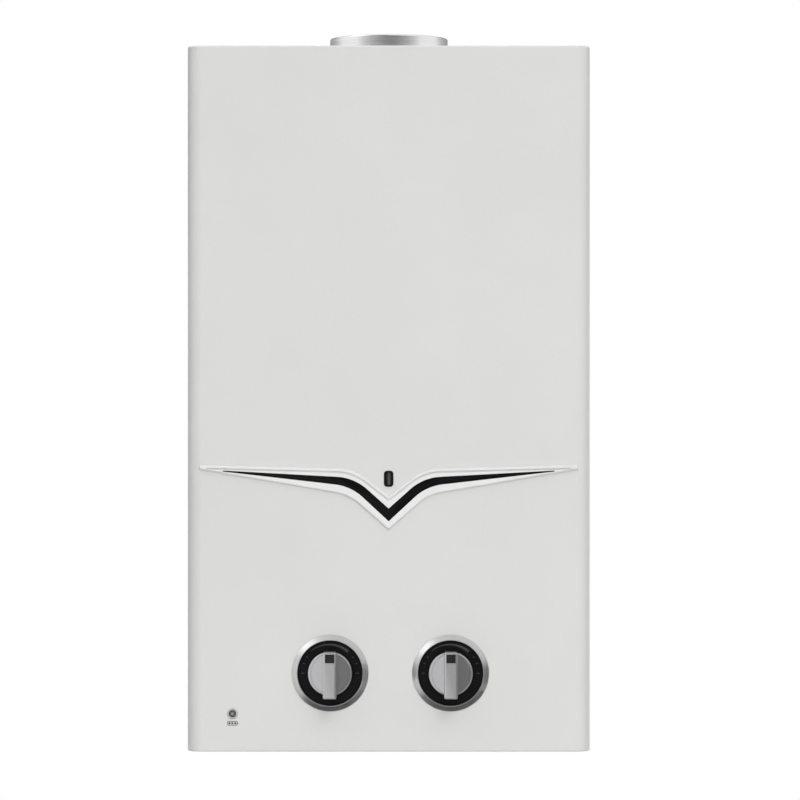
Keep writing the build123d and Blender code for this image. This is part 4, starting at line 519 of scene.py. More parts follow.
clear_hands()
bpy.ops.mesh.primitive_circle_add(vertices=6, fill_type="NOTHING", radius=THREAD_R)
thread = named("thread")
flank = [(THREAD_ROOT, 0.10), (THREAD_R - CREST_ROUND, 0.42), (THREAD_R, 0.47)]
flank += [(radius, 1 - part) for radius, part in flank[::-1]]
for point, (radius, part) in zip(thread.data.vertices, flank):
    point.co = (radius, 0, -part * THREAD_PITCH)
choose(thread, "EDGE", lambda a, b: abs(a.z - b.z) > 0.75 * THREAD_PITCH)
bpy.ops.mesh.delete(type="EDGE")
choose(thread, "VERT", lambda p: p.z < -0.85 * THREAD_PITCH)
bpy.ops.mesh.extrude_region_move(TRANSFORM_OT_translate={"value": (0, 0, -0.2 * THREAD_PITCH)})
clear_hands()
turns = thread.modifiers.new("turns", "SCREW")
turns.axis = "Z"
turns.steps = turns.render_steps = THREAD_STEPS
turns.screw_offset = -THREAD_PITCH
turns.iterations = THREAD_TURNS
turns.use_merge_vertices = True
turns.merge_threshold = 1e-6
apply_step(thread, turns)
for point in thread.data.vertices:
    point.co.z -= HEX_T - 1.5 * THREAD_PITCH
heal(thread, 2e-6)
for height, up in ((thread_top + 0.0001, 1), (thread_end, -1)):
    slice_off(thread, (0, 0, height), (0, 0, up))
    heal(thread, 1e-6)
lead_in = bar("lead_in", THREAD_R + 0.0002, thread_end, thread_top, 96)
round_edges(lead_in, lambda a, b: max(a.z, b.z) < thread_end + 1e-5, THREAD_LEAD_IN, 1)
carve(thread, lead_in, "INTERSECT")
spigot = bar("spigot", SPIGOT_R, -0.0005, SPIGOT_L)
washer = bar("washer", HEX_FLATS / 2 + WASHER_RIM, -WASHER_T, 0, 96)
for part in (hexagon, thread, spigot, washer):
    carve(part, bar("drill", BORE_R, -0.03, 0.03, 48))
connection = weld("connection", hexagon, thread, spigot, washer)

FINGERED_BRASS, WARM_BRASS, BRIGHT_BRASS = (0.46, 0.30, 0.11), (0.70, 0.50, 0.21), (0.80, 0.62, 0.31)
bright_brass, surface = new_finish("bright_brass")
tarnish = clouds(spot(surface), 90, 7)
surface.inputs["Metallic"].default_value = 1.0
tint(surface, "Base Color", tarnish, (0.28, FINGERED_BRASS), (0.5, WARM_BRASS), (0.75, BRIGHT_BRASS))
tint(surface, "Roughness", tarnish, (0.3, 0.36), (0.7, 0.16))
relief(surface, clouds(spot(surface, (1, 1, 40)), 100, 2), 0.00006, 0.3)
for name, (x, y) in CONNECTIONS.items():
    end = twin(connection, name + "_threaded")
    end.location = (x, y, DECK_UNDERSIDE)
    settle(end, bright_brass, "heater", "brass", name)
bpy.data.objects.remove(connection)

# Poppet spring: round steel wire coiled cold and zinc plated, standing in the gas chamber behind the
# poppet. The rod presses it shorter as it lifts the poppet off its seat.
SPRING_WIRE_R, SPRING_TURNS, STEPS_A_TURN = 0.0007, 6, 48
low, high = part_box("poppet_spring")
middle = (low + high) / 2
wire_line = (high.z - low.z) / 2 - SPRING_WIRE_R
clear_hands()
bpy.ops.mesh.primitive_circle_add(
    vertices=14, radius=SPRING_WIRE_R, fill_type="NOTHING", location=(0, wire_line, 0)
)
spring = named("poppet_spring_coiled")
bpy.ops.object.transform_apply(location=True, rotation=True, scale=True)
coil = spring.modifiers.new("coil", "SCREW")
coil.axis = "X"
coil.angle = SPRING_TURNS * math.tau
coil.steps = coil.render_steps = STEPS_A_TURN * SPRING_TURNS
coil.screw_offset = high.x - low.x - 2 * SPRING_WIRE_R
apply_step(spring, coil)
open_up(spring)
bpy.ops.mesh.fill_holes(sides=0)
heal(spring)
spring.location = (low.x + SPRING_WIRE_R, middle.y, middle.z)
settle(spring, plated_steel, "heater", "steel", "poppet_spring")
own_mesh(spring)


# Drain plug: turned from brass bar, with a knurled head and a flat finger wing, and screwed up into the
# water valve beside the cold inlet.
def slab(name, low, high):
    """A block between two corners."""
    clear_hands()
    bpy.ops.mesh.primitive_cube_add(size=1, location=[(a + b) / 2 for a, b in zip(low, high)])
    piece = named(name)
    piece.scale = [b - a for a, b in zip(low, high)]
    bpy.ops.object.transform_apply(location=True, rotation=True, scale=True)
    return piece


DRAIN_PLACE = (0.0507, -0.118, -0.2613)
PLUG_HEAD_R, PLUG_HEAD_T, PLUG_SIDES, KNURL_DEPTH = 0.008, 0.005, 72, 0.945
PLUG_WING_W, PLUG_WING_T, PLUG_END = 0.015, 0.003, -0.013
PLUG_STEM_R, PLUG_STEM_L = 0.00495, 0.0133


def every_other(a, b):
    """Whether an edge of the head stands upright at every second corner."""
    return abs(a.z - b.z) > 0.004 and round(math.atan2(a.y, a.x) * PLUG_SIDES / math.tau) % 2 == 0


head = bar("head", PLUG_HEAD_R, -PLUG_HEAD_T, 0, PLUG_SIDES)
choose(head, "EDGE", every_other)
bpy.ops.transform.resize(value=(KNURL_DEPTH, KNURL_DEPTH, 1), center_override=(0, 0, 0))
round_edges(head, lambda a, b: level(a, b) and a.z < -0.004, 0.0005, 2)
wing_low = (-PLUG_WING_W / 2, -PLUG_WING_T / 2, PLUG_END)
wing = slab("wing", wing_low, (PLUG_WING_W / 2, PLUG_WING_T / 2, -PLUG_HEAD_T))
choose(wing, "VERT", lambda p: p.z < PLUG_END + 0.001)
bpy.ops.transform.resize(value=(0.82, 0.8, 1), center_override=(0, 0, PLUG_END))
round_edges(wing, lambda a, b: max(a.z, b.z) < -0.0049 or abs(a.z - b.z) > 0.005, 0.0009, 4)
stem = bar("stem", PLUG_STEM_R, -0.0005, PLUG_STEM_L, 48)
plug = weld("drain_plug_winged", head, wing, stem)
plug.location = DRAIN_PLACE
settle(plug, bright_brass, "drain", "brass", "drain_plug")

# Battery lid: a moulded ABS flap that hinges on a pin at the back of the battery box. It has a sunk
# panel, finger ribs and a latch that springs behind the front edge of the box.
LID_LEFT, LID_FRONT, LID_RIGHT, LID_BACK = -0.157, -0.1338, -0.118, -0.0945
LID_LOW, LID_HIGH, LATCH_TOP = -0.2687, -0.2663, -0.262
HINGE = (-0.1375, -0.0893, -0.2675)
RIBS, RIB_STEP, RIB_W, RIB_T = 5, 0.003, 0.020, 0.0013
LEAF_W, LEAF_LAP, LATCH_W, LATCH_T = 0.024, 0.004, 0.014, 0.002
BARREL_R, PIN_R, PIN_L = 0.0022, 0.001, 0.030
flap = slab("flap", (LID_LEFT, LID_FRONT, LID_LOW), (LID_RIGHT, LID_BACK, LID_HIGH))
round_edges(flap, lambda a, b: abs(a.z - b.z) > 0.001, 0.002, 5)
round_edges(flap, lambda a, b: max(a.z, b.z) < LID_LOW + 1e-5, 0.0005, 3)
choose(flap, "FACE", lambda c, n: n.z < -0.9)
bpy.ops.mesh.inset(thickness=0.003)
bpy.ops.mesh.inset(thickness=0.0004, depth=-0.0004)
rib_low = (HINGE[0] - RIB_W / 2, LID_FRONT + 0.008 - RIB_T / 2, LID_LOW - 0.0010)
rib = slab("rib", rib_low, (HINGE[0] + RIB_W / 2, LID_FRONT + 0.008 + RIB_T / 2, LID_LOW + 0.0006))
round_edges(rib, lambda a, b: max(a.z, b.z) < LID_LOW, 0.0005, 3)
ribs = [rib]
for count in range(1, RIBS):
    ribs.append(twin(rib, "rib"))
    ribs[-1].location.y = RIB_STEP * count
leaf_low = (HINGE[0] - LEAF_W / 2, LID_BACK - LEAF_LAP, LID_LOW)
leaf = slab("leaf", leaf_low, (HINGE[0] + LEAF_W / 2, HINGE[1], LID_HIGH))
barrel = bar("barrel", BARREL_R, -LEAF_W / 2, LEAF_W / 2, 40)
round_edges(barrel, level, 0.0003, 2)
pin = bar("pin", PIN_R, -PIN_L / 2, PIN_L / 2, 24)
for part in (barrel, pin):
    part.rotation_euler.y = math.pi / 2
    part.location = HINGE
latch_low = (HINGE[0] - LATCH_W / 2, LID_FRONT, LID_LOW)
latch = slab("latch", latch_low, (HINGE[0] + LATCH_W / 2, LID_FRONT + LATCH_T, LATCH_TOP))
round_edges(latch, lambda a, b: min(a.z, b.z) > LATCH_TOP - 0.0001 or abs(a.z - b.z) > 0.004, 0.0006, 3)
lid = weld("battery_lid_ribbed", *ribs, leaf, barrel, pin, latch, flap)
settle(lid, grey_moulding, "lid", "grey_plastic", "battery_lid")

# Flue collar: rolled from bright steel strip, beaded at the top and flanged on to the top plate.
# Rolling leaves fine streaks round it.
rolled_steel, surface = new_finish("rolled_steel")
streaks = clouds(spot(surface, (1, 1, 60), (0, -0.08, 0)), 14, 5, 0.6)
surface.inputs["Metallic"].default_value = 1.0
surface.inputs["Anisotropic"].default_value = 0.4
tint(surface, "Base Color", streaks, (0.3, (0.76, 0.76, 0.77)), (0.7, (0.86, 0.86, 0.87)))
tint(surface, "Roughness", streaks, (0.25, 0.16), (0.75, 0.28))
relief(surface, streaks, 0.00008, 0.25)
dress(rolled_steel, "flue_collar")


# Front cover: one folded and welded sheet with rounded front edges, stove-enamelled in pale grey,
# hung over the rear panel and screwed to it by two tabs. The enamel has a very fine orange peel.
def rounded(corners, radii, steps=10):
    """An outline with its corners rounded."""
    outline = []
    for n, corner in enumerate(corners):
        if not radii[n]:
            outline.append(corner)
            continue
        here = Vector(corner)
        before = (Vector(corners[n - 1]) - here).normalized()
        after = (Vector(corners[(n + 1) % len(corners)]) - here).normalized()
        half = before.angle(after) / 2
        reach = radii[n] / math.tan(half)
        middle = here + (before + after).normalized() * radii[n] / math.sin(half)
        first, last = here + before * reach - middle, here + after * reach - middle
        turn = first.angle_signed(last)
        for step in range(steps + 1):
            angle = -turn * step / steps
            x = first.x * math.cos(angle) - first.y * math.sin(angle)
            y = first.x * math.sin(angle) + first.y * math.cos(angle)
            outline.append((middle.x + x, middle.y + y))
    return outline


def oblong(left, low, right, top):
    """An upright rectangle's four corners."""
    return [(left, low), (right, low), (right, top), (left, top)]


def plate(name, outline, low, high):
    """A flat plate of any outline in XY, from one height to another."""
    clear_hands()
    bpy.ops.mesh.primitive_circle_add(vertices=len(outline), fill_type="NGON", radius=0.1)
    piece = named(name)
    for point, (x, y) in zip(piece.data.vertices, outline):
        point.co = (x, y, low)
    open_up(piece)
    bpy.ops.mesh.extrude_region_move(TRANSFORM_OT_translate={"value": (0, 0, high - low)})
    heal(piece)
    return piece


def stand(piece, x, y, z):
    """Turn a piece that was made lying on its back to face the front, and put it in place."""
    piece.rotation_euler.x = math.pi / 2
    piece.location = (x, y, z)


def folded(name, half_w, half_h, front, back, bend, hem):
    """A block with round bends at its front sides and tight folds round its ends."""
    blank = slab(name, (-half_w, front, -half_h), (half_w, back, half_h))
    round_edges(blank, lambda a, b: abs(a.z - b.z) > half_h and a.y < front + 1e-6, bend, 18)
    round_edges(blank, lambda a, b: level(a, b) and min(a.y, b.y) < back - 1e-6, hem, 4)
    return blank


FRONT = -0.160
CASE_W, CASE_H, SHEET_T = 0.330, 0.578, 0.0008
BEND_R, HEM_R = 0.012, 0.0014
TOP_FLANGE, BOTTOM_FLANGE = 0.020, 0.014
KNOB_Z, GAS_X, WATER_X, KNOB_HOLE_R = -0.2245, -0.047902, 0.050702, 0.0253
SIGHT_Z, SIGHT_CORNER, SLOT_HALF_W, SLOT_HALF_H = -0.0656, 0.0026, 0.0034, 0.00605
LAMP_X, LAMP_Z, LAMP_HOLE_R = -0.1278, -0.2578, 0.0037
inner_w, inner_h = CASE_W / 2 - SHEET_T, CASE_H / 2 - SHEET_T
cover = folded("front_cover_sheet", CASE_W / 2, CASE_H / 2, FRONT, 0, BEND_R, HEM_R)
carve(cover, folded("room", inner_w, inner_h, FRONT + SHEET_T, 0.01, BEND_R - SHEET_T, HEM_R - SHEET_T))
roof_low = (-inner_w, FRONT + TOP_FLANGE, inner_h - 0.003)
carve(cover, slab("roof", roof_low, (inner_w, 0.01, CASE_H / 2 + 0.001)))
floor_low = (-inner_w, FRONT + BOTTOM_FLANGE, -CASE_H / 2 - 0.001)
carve(cover, slab("floor", floor_low, (inner_w, 0.01, 0.003 - inner_h)))
holes = [(GAS_X, KNOB_Z, KNOB_HOLE_R), (WATER_X, KNOB_Z, KNOB_HOLE_R), (LAMP_X, LAMP_Z, LAMP_HOLE_R)]
for x, z, radius in holes:
    hole = bar("hole", radius, -0.003, 0.003, 96)
    stand(hole, x, FRONT, z)
    carve(cover, hole)
sight_slot = oblong(-SLOT_HALF_W, -SLOT_HALF_H, SLOT_HALF_W, SLOT_HALF_H)
hole = plate("hole", rounded(sight_slot, [SIGHT_CORNER] * 4), -0.003, 0.003)
stand(hole, 0, FRONT, SIGHT_Z)
carve(cover, hole)
pale_enamel = mottled(
    "pale_enamel",
    colours=(9, 3, (0.25, (0.700, 0.700, 0.686)), (0.75, (0.726, 0.726, 0.712))),
    roughness=(60, 4, (0.3, 0.34), (0.7, 0.44)),
    grain=(750, 2, 0.00006, 0.35),
    specular=0.25,
)
dress(pale_enamel, "cover_tabs")
settle(cover, pale_enamel, "heater", "cover_paint", "front_cover")
even = cover.modifiers.new("even", "WEIGHTED_NORMAL")
even.keep_sharp = True
apply_step(cover, even)


# V trim: one glossy pale moulding clipped across the front, with sloping sides and a thin line along its
# upper lip. A groove down its middle holds a black inlay.
def shrunk(corners, widths):
    """An outline's corners, set in by its own width along each edge."""
    inner = []
    for n, corner in enumerate(corners):
        here = Vector(corner)
        back = (here - Vector(corners[n - 1])).normalized()
        on = (Vector(corners[(n + 1) % len(corners)]) - here).normalized()
        sides = Vector((back.y, -back.x)), Vector((on.y, -on.x))
        lean = sides[0].dot(sides[1])
        first = (widths[n - 1] - lean * widths[n]) / (1 - lean * lean)
        last = (widths[n] - lean * widths[n - 1]) / (1 - lean * lean)
        inner.append(tuple(here + sides[0] * first + sides[1] * last))
    return inner


def set_in(above, tips, below):
    """The V wing's outline, set in by its own width along the upper edges, the tips and the lower edges."""
    return rounded(shrunk(TRIM, [above] * 4 + [tips] + [below] * 4 + [tips]), ELBOWS)


def draw_up(piece, start, outline, end, narrowed):
    """Extrude a plate's top face and pull the new rim to a narrower outline."""
    choose(piece, "FACE", lambda c, n: n.z > 0.9 and abs(c.z - start) < 1e-6)
    bpy.ops.mesh.extrude_region_move(TRANSFORM_OT_translate={"value": (0, 0, 0.01)})
    clear_hands()
    for point in piece.data.vertices:
        if point.co.z > start + 0.005:
            near = min(range(len(outline)), key=lambda n: (Vector(outline[n]) - point.co.xy).length)
            point.co = (*narrowed[near], end)


def wing_corners(upper, lower):
    """A V wing's ten corners, clockwise from the left tip, from its right half."""
    corners = [(-x, z) for x, z in upper[:2]] + [upper[2]] + upper[1::-1]
    return corners + lower + [(-x, z) for x, z in lower[1::-1]]


TRIM_Z, TRIM_H = -0.1077, 0.0024
GROOVE_FLOOR, INLAY_TOP, LIP_FLOOR = TRIM_H - 0.0014, TRIM_H - 0.0004, TRIM_H - 0.0017
ELBOW_R = 0.040
ELBOWS = [0, ELBOW_R, 0, ELBOW_R, 0] * 2
TRIM = wing_corners(
    [(0.1548, 0.0532), (0.0285, 0.0500), (0, 0.0278)],
    [(0.1548, 0.0495), (0.0330, 0.0287), (0, 0)],
)
INLAY = wing_corners(
    [(0.1356, 0.0489), (0.0281, 0.0430), (0, 0.0179)],
    [(0.1356, 0.0480), (0.0309, 0.0360), (0, 0.0073)],
)
heights = [0.0003, 0.0020, TRIM_H]
outlines = [set_in(above, above, below) for above, below in ((0, 0), (0.0002, 0.0009), (0.0005, 0.0014))]
wing = plate("v_trim_wing", outlines[0], 0, heights[0])
for n in (1, 2):
    draw_up(wing, heights[n - 1], outlines[n - 1], heights[n], outlines[n])
UPPER_POINTS = 25
lip_top, lip_foot = [set_in(width, 0.006, 0.0001)[:UPPER_POINTS] for width in (0.0019, 0.0032)]
carve(wing, plate("lip_line", lip_top + lip_foot[::-1], LIP_FLOOR, TRIM_H + 0.001))
carve(wing, plate("groove", rounded(INLAY, ELBOWS), GROOVE_FLOOR, TRIM_H + 0.001))
stand(wing, 0, FRONT, TRIM_Z)
gloss_trim = mottled(
    "gloss_trim",
    colours=(14, 3, (0.3, (0.79, 0.79, 0.78)), (0.7, (0.82, 0.82, 0.81))),
    roughness=(120, 3, (0.3, 0.16), (0.7, 0.26)),
)
settle(wing, gloss_trim, "heater", "trim_white", "v_trim")

inlay = plate("v_trim_band", rounded(INLAY, ELBOWS), GROOVE_FLOOR, INLAY_TOP)
round_edges(inlay, lambda a, b: min(a.z, b.z) > INLAY_TOP - 0.00001, 0.0002, 2)
stand(inlay, 0, FRONT, TRIM_Z)
gloss_black = mottled(
    "gloss_black",
    colours=(40, 4, (0.3, (0.003, 0.003, 0.003)), (0.7, (0.005, 0.005, 0.005))),
    roughness=(90, 5, (0.3, 0.14), (0.7, 0.30)),
    specular=0.1,
)
settle(inlay, gloss_black, "heater", "inlay_black", "v_trim_inlay")

# Flame window: a black moulded grommet pressed into a slot of the cover, with a flange and a pane of
# heat-proof glass behind. The smoked pane is painted lighter down its middle and darker at its sides
# beside the slot's walls: painted light and painted shade.
SIGHT_HALF_W, SIGHT_HALF_H, SIGHT_RISE, COVER_BACK, FLANGE_BACK = 0.0039, 0.00655, 0.0007, -0.0008, -0.0023
SMOKE_PAINTED_LIGHT, DARK_SMOKE, SMOKE_PAINTED_SHADE = (0.11, 0.113, 0.116), (0.01, 0.01, 0.011), (0.004, 0.004, 0.004)


def window(wide, high, corner, steps):
    """The window's outline, made wider and higher."""
    half_w, half_h = SIGHT_HALF_W * wide, SIGHT_HALF_H * high
    return rounded(oblong(-half_w, -half_h, half_w, half_h), [corner] * 4, steps)


opening = window(0.62, 0.78, 0.0012, 6)
grommet = plate("flame_window_grommet", window(1, 1, SIGHT_CORNER, 8), COVER_BACK, SIGHT_RISE)
carve(grommet, plate("opening", opening, -0.003, 0.003))
round_edges(grommet, lambda a, b: min(a.z, b.z) > SIGHT_RISE - 0.0001, 0.00035, 3)
flange = plate("flange", window(2, 1.6, 0.002, 8), FLANGE_BACK, COVER_BACK)
carve(flange, plate("opening", opening, -0.003, 0.003))
grommet = weld("flame_window_grommet", flange, grommet)
stand(grommet, 0, FRONT, SIGHT_Z)
settle(grommet, gloss_black, "heater", "black_plastic", "sight_frame")
smoked_glass, surface = new_finish("smoked_glass")
surface.inputs["Transmission Weight"].default_value = 0.2
# The pane's base colour is painted: lighter down its middle as painted light, and black at its sides as
# painted shade.
aside = calculate("ABSOLUTE", along(spot(surface, (300, 300, 300), (0.0003, FRONT, SIGHT_Z)), "X"))
tint(surface, "Base Color", aside, (0.10, SMOKE_PAINTED_LIGHT), (0.48, DARK_SMOKE), (0.66, SMOKE_PAINTED_SHADE))
surface.inputs["Specular IOR Level"].default_value = 0.2
tint(surface, "Roughness", clouds(spot(surface), 300, 5), (0.3, 0.12), (0.7, 0.3))
dress(smoked_glass, "sight_glass")


# Battery lamp: a small plated ring pressed into the cover with a domed red lens that is dark when off,
# and a printed battery sign under it.
def ring(name, section, steps):
    """A turned ring: a closed section of radius and height, spun about Z."""
    clear_hands()
    bpy.ops.mesh.primitive_circle_add(vertices=len(section), fill_type="NOTHING", radius=0.1)
    piece = named(name)
    for point, (radius, height) in zip(piece.data.vertices, section):
        point.co = (radius, 0, height)
    open_up(piece)
    bpy.ops.mesh.spin(steps=steps, angle=2 * math.pi, center=(0, 0, 0), axis=(0, 0, 1))
    heal(piece, 2e-6)
    return piece


def arc(middle, reach, start, end, steps):
    """Points of an elliptic arc, for a section."""
    places = []
    for step in range(steps + 1):
        angle = math.radians(start + (end - start) * step / steps)
        places.append((middle[0] + reach[0] * math.cos(angle), middle[1] + reach[1] * math.sin(angle)))
    return places


def length_of(vector):
    """How long a vector is."""
    length = new_node(vector, "VectorMath")
    length.operation = "LENGTH"
    link(vector, length.inputs[0])
    return length.outputs["Value"]


LAMP_FOOT, LENS_R, RING_BORE = -0.009, 0.00275, 0.0028
section = [(0.0036, LAMP_FOOT), (0.0036, 0.0)] + arc((0.0038, 0), (0.0006, 0.0012), 0, 90, 6)
section += arc((0.0034, 0.0009), (0.0004, 0.0003), 90, 180, 4) + [(RING_BORE, 0.0), (RING_BORE, LAMP_FOOT)]
holder = ring("lamp_ring", section, 64)
stand(holder, LAMP_X, FRONT, LAMP_Z)
pale_satin = mottled(
    "pale_satin",
    colours=(200, 4, (0.3, (0.47, 0.47, 0.465)), (0.7, (0.54, 0.54, 0.535))),
    roughness=(400, 4, (0.3, 0.28), (0.7, 0.4)),
    metallic=0.35,
)
settle(holder, pale_satin, "heater", "bright_ring", "lamp_holder")

dome = [(0.0, LAMP_FOOT), (LENS_R, LAMP_FOOT)] + arc((0, -0.0001), (LENS_R, 0.0010), 0, 90, 10)
lens = ring("lamp_dome", dome, 48)
stand(lens, LAMP_X, FRONT, LAMP_Z)
# The lens is painted paler at its middle, a painted highlight on the dome; towards its rim it keeps its own
# dark red-grey.
LENS_PAINTED_HIGHLIGHT, DIM_LENS, DARK_LENS = (0.30, 0.27, 0.265), (0.13, 0.108, 0.105), (0.10, 0.085, 0.083)
red_lens, surface = new_finish("red_lens")
outward = length_of(spot(surface, (330, 1, 330), (LAMP_X, FRONT, LAMP_Z)))
tint(surface, "Base Color", outward, (0.15, LENS_PAINTED_HIGHLIGHT), (0.45, DIM_LENS), (0.9, DARK_LENS))
tint(surface, "Roughness", clouds(spot(surface), 600, 2), (0.3, 0.08), (0.7, 0.18))
settle(lens, red_lens, "heater", "lamp_red", "lamp_lens")

PRINT_T, SIGN_DROP = 0.00004, 0.0079
ink_grey = mottled(
    "ink_grey",
    colours=(900, 4, (0.3, (0.035, 0.035, 0.034)), (0.7, (0.075, 0.075, 0.073))),
    roughness=(500, 2, (0.3, 0.4), (0.7, 0.6)),
)
case_line = plate("case_line", rounded(oblong(-0.0042, -0.0018, 0.0040, 0.0018), [0.0005] * 4, 4), 0, PRINT_T)
carve(case_line, plate("inside", oblong(-0.0037, -0.0013, 0.0035, 0.0013), -0.001, 0.001))
sign = [case_line, plate("tip", oblong(0.0041, -0.0007, 0.0047, 0.0007), 0, PRINT_T)]
for start in (-0.0032, -0.0009, 0.0014):
    sign.append(plate("charge", oblong(start, -0.0008, start + 0.0016, 0.0008), 0, PRINT_T))
sign = weld("battery_sign", *sign)
stand(sign, LAMP_X, FRONT, LAMP_Z - SIGN_DROP)
settle(sign, ink_grey, "heater", "black_plastic")


# Knob surrounds: a plated ring snapped into the cover round each knob, and a black dial plate lying in
# it, with a sunk track that carries the printed marks.
def at_both_knobs(name, piece):
    """Stand a copy of a piece at each knob, weld the copies and throw the piece away."""
    copies = []
    for x in (GAS_X, WATER_X):
        copies.append(twin(piece, "copy"))
        stand(copies[-1], x, FRONT, KNOB_Z)
    bpy.data.objects.remove(piece)
    return weld(name, *copies)


RING_R, RING_FOOT, SNAP_R, SEAT_R, DIAL_WALL_R, DIAL_BACK = 0.0314, -0.0035, 0.0250, 0.0230, 0.02675, 0.0010
section = [(SNAP_R, RING_FOOT), (SNAP_R, 0.0), (RING_R, 0.0)]
section += arc((0.0308, 0.0007), (0.0006, 0.0004), 0, 40, 4)
section += arc((0.0271, 0.0038), (0.0003, 0.0003), 52, 90, 5)
section += arc((0.0270, 0.00385), (0.00025, 0.00025), 90, 180, 4)
section += [(DIAL_WALL_R, 0.0014), (DIAL_WALL_R, DIAL_BACK), (SEAT_R, DIAL_BACK), (SEAT_R, RING_FOOT)]
rings = at_both_knobs("knob_rings", ring("surround", section, 160))
bright_plate = mottled(
    "bright_plate",
    colours=(60, 4, (0.3, (0.51, 0.51, 0.51)), (0.7, (0.57, 0.57, 0.57))),
    roughness=(150, 5, (0.3, 0.27), (0.7, 0.35)),
    metallic=1.0,
)
settle(rings, bright_plate, "heater", "bright_ring", "knob_bezels")

DIAL_R, DIAL_BORE, DIAL_TOP, TRACK = 0.0266, 0.0070, 0.0024, 0.00215
section = [(DIAL_BORE, DIAL_BACK), (DIAL_R, DIAL_BACK), (DIAL_R, 0.0022)]
section += [(0.0264, DIAL_TOP), (0.0256, DIAL_TOP), (0.0254, TRACK)]
section += [(0.0194, TRACK), (0.0192, DIAL_TOP), (DIAL_BORE, DIAL_TOP)]
dials = at_both_knobs("dial_faces", ring("face", section, 144))
DEEP_BLACK, WORN_BLACK = (0.003, 0.003, 0.0035), (0.006, 0.006, 0.0065)
dial_black = mottled(
    "dial_black",
    colours=(80, 4, (0.3, DEEP_BLACK), (0.7, WORN_BLACK)),
    roughness=(500, 3, (0.3, 0.34), (0.7, 0.5)),
    grain=(2600, 2, 0.00005, 0.5),
    specular=0.1,
)
settle(dials, dial_black, "heater", "black_plastic", "dial_plates")

SWELL_OUTER, SWELL_INNER, SWELL_INNER_END, SWELL_STEPS = 0.0241, 0.0218, 0.0237, 20
TICK_START, TICK_END, TICK_HALF_W = 0.0231, 0.0237, 0.0003
TICKS = {0: 0.0021, 180: 0.0021, 20: 0.0011, 160: 0.0011, 35: 0.0011, 145: 0.0011}
swell = arc((0, 0), (SWELL_OUTER, SWELL_OUTER), 130, 50, SWELL_STEPS)
for step, (x, y) in enumerate(arc((0, 0), (1, 1), 50, 130, SWELL_STEPS)):
    reach = SWELL_INNER + (SWELL_INNER_END - SWELL_INNER) * step / SWELL_STEPS
    swell.append((reach * x, reach * y))
marks = [plate("swell", swell, TRACK, TRACK + PRINT_T)]
for angle, size in TICKS.items():
    side = Vector((math.cos(math.radians(angle)), math.sin(math.radians(angle))))
    across = Vector((-side.y, side.x)) * TICK_HALF_W
    near, end = side * (TICK_START - size), side * TICK_END
    corners = [near - across, end - across, end + across, near + across]
    marks.append(plate("tick", [tuple(corner) for corner in corners], TRACK, TRACK + PRINT_T))
prints = at_both_knobs("dial_marks", weld("marks", *marks))
dial_grey = mottled(
    "dial_grey",
    colours=(700, 4, (0.3, (0.026, 0.026, 0.027)), (0.7, (0.042, 0.042, 0.044))),
    roughness=(500, 2, (0.3, 0.4), (0.7, 0.6)),
)
settle(prints, dial_grey, "heater", "black_plastic")

# Knobs: moulded discs with a grip bar across, sprayed silver, with a black pointer insert at the top of
# the bar. The disc falls away a little on both sides of the bar, and each side has a shallow sink.
KNOB_Y = -0.163
KNOB_R, DISC_H, KNOB_H, DISC_SLOPE = 0.01805, 0.008, 0.021, math.radians(8)
SINK_R, SINK_TOP_R, SINK_H, SINK_DEPTH = 0.0154, 0.0174, 0.004, 0.0005
GRIP_W, GRIP_HEAD, GRIP_TAIL = 0.011, 0.0183, 0.0198
POINTER_W, POINTER_L, POINTER_DEPTH, POINTER_EDGE = 0.0076, 0.0071, 0.0015, 0.0016
INSERT_GAP, INSERT_SUNK = 0.0001, 0.0003


def disc_rim(a, b):
    """Whether an edge runs round the disc's upper rim."""
    out_there = min(a.xy.length, b.xy.length) > KNOB_R - 1e-5
    return out_there and min(a.z, b.z) > 0.004 and abs(a.z - b.z) < 0.001


disc = bar("disc", KNOB_R, 0, DISC_H, 144)
for side in (-1, 1):
    slope = (side * math.sin(DISC_SLOPE), 0, math.cos(DISC_SLOPE))
    slice_off(disc, (side * GRIP_W / 2, 0, DISC_H), slope)
for side in (-1, 1):
    clear_hands()
    bpy.ops.mesh.primitive_cone_add(
        vertices=144, radius1=SINK_R, radius2=SINK_TOP_R, depth=SINK_H, location=(0, 0, DISC_H)
    )
    sink = named("sink")
    bpy.ops.object.transform_apply(location=True, rotation=True, scale=True)
    for height, lean in ((DISC_H - SINK_DEPTH, DISC_SLOPE), (0, math.pi / 2)):
        slope = (side * math.sin(lean), 0, math.cos(lean))
        slice_off(sink, (side * GRIP_W / 2, 0, height), slope, outer=False)
    carve(disc, sink)
round_edges(disc, disc_rim, 0.0012, 5)
grip = slab("grip", (-GRIP_W / 2, -GRIP_TAIL, 0), (GRIP_W / 2, GRIP_HEAD, KNOB_H))
round_edges(grip, lambda a, b: abs(a.z - b.z) > 0.01, 0.0016, 5)
round_edges(grip, lambda a, b: min(a.z, b.z) > KNOB_H - 1e-5, 0.0013, 5)
pointer_top = GRIP_HEAD - POINTER_EDGE
pocket_low = (-POINTER_W / 2, pointer_top - POINTER_L, KNOB_H - POINTER_DEPTH)
carve(grip, slab("pocket", pocket_low, (POINTER_W / 2, pointer_top, KNOB_H + POINTER_DEPTH)))
knob = weld("knob", disc, grip)
silver_spray, surface = new_finish("silver_spray")
where = spot(surface)
flake = crystals(where, 5200)
surface.inputs["Metallic"].default_value = 1.0
tint(surface, "Base Color", flake, (0.1, (0.465, 0.465, 0.475)), (0.9, (0.53, 0.53, 0.54)))
tint(surface, "Roughness", clouds(where, 900, 4), (0.3, 0.31), (0.7, 0.35))
relief(surface, flake, 0.00001, 0.03)
insert_low = (INSERT_GAP - POINTER_W / 2, pointer_top - POINTER_L + INSERT_GAP, KNOB_H - POINTER_DEPTH)
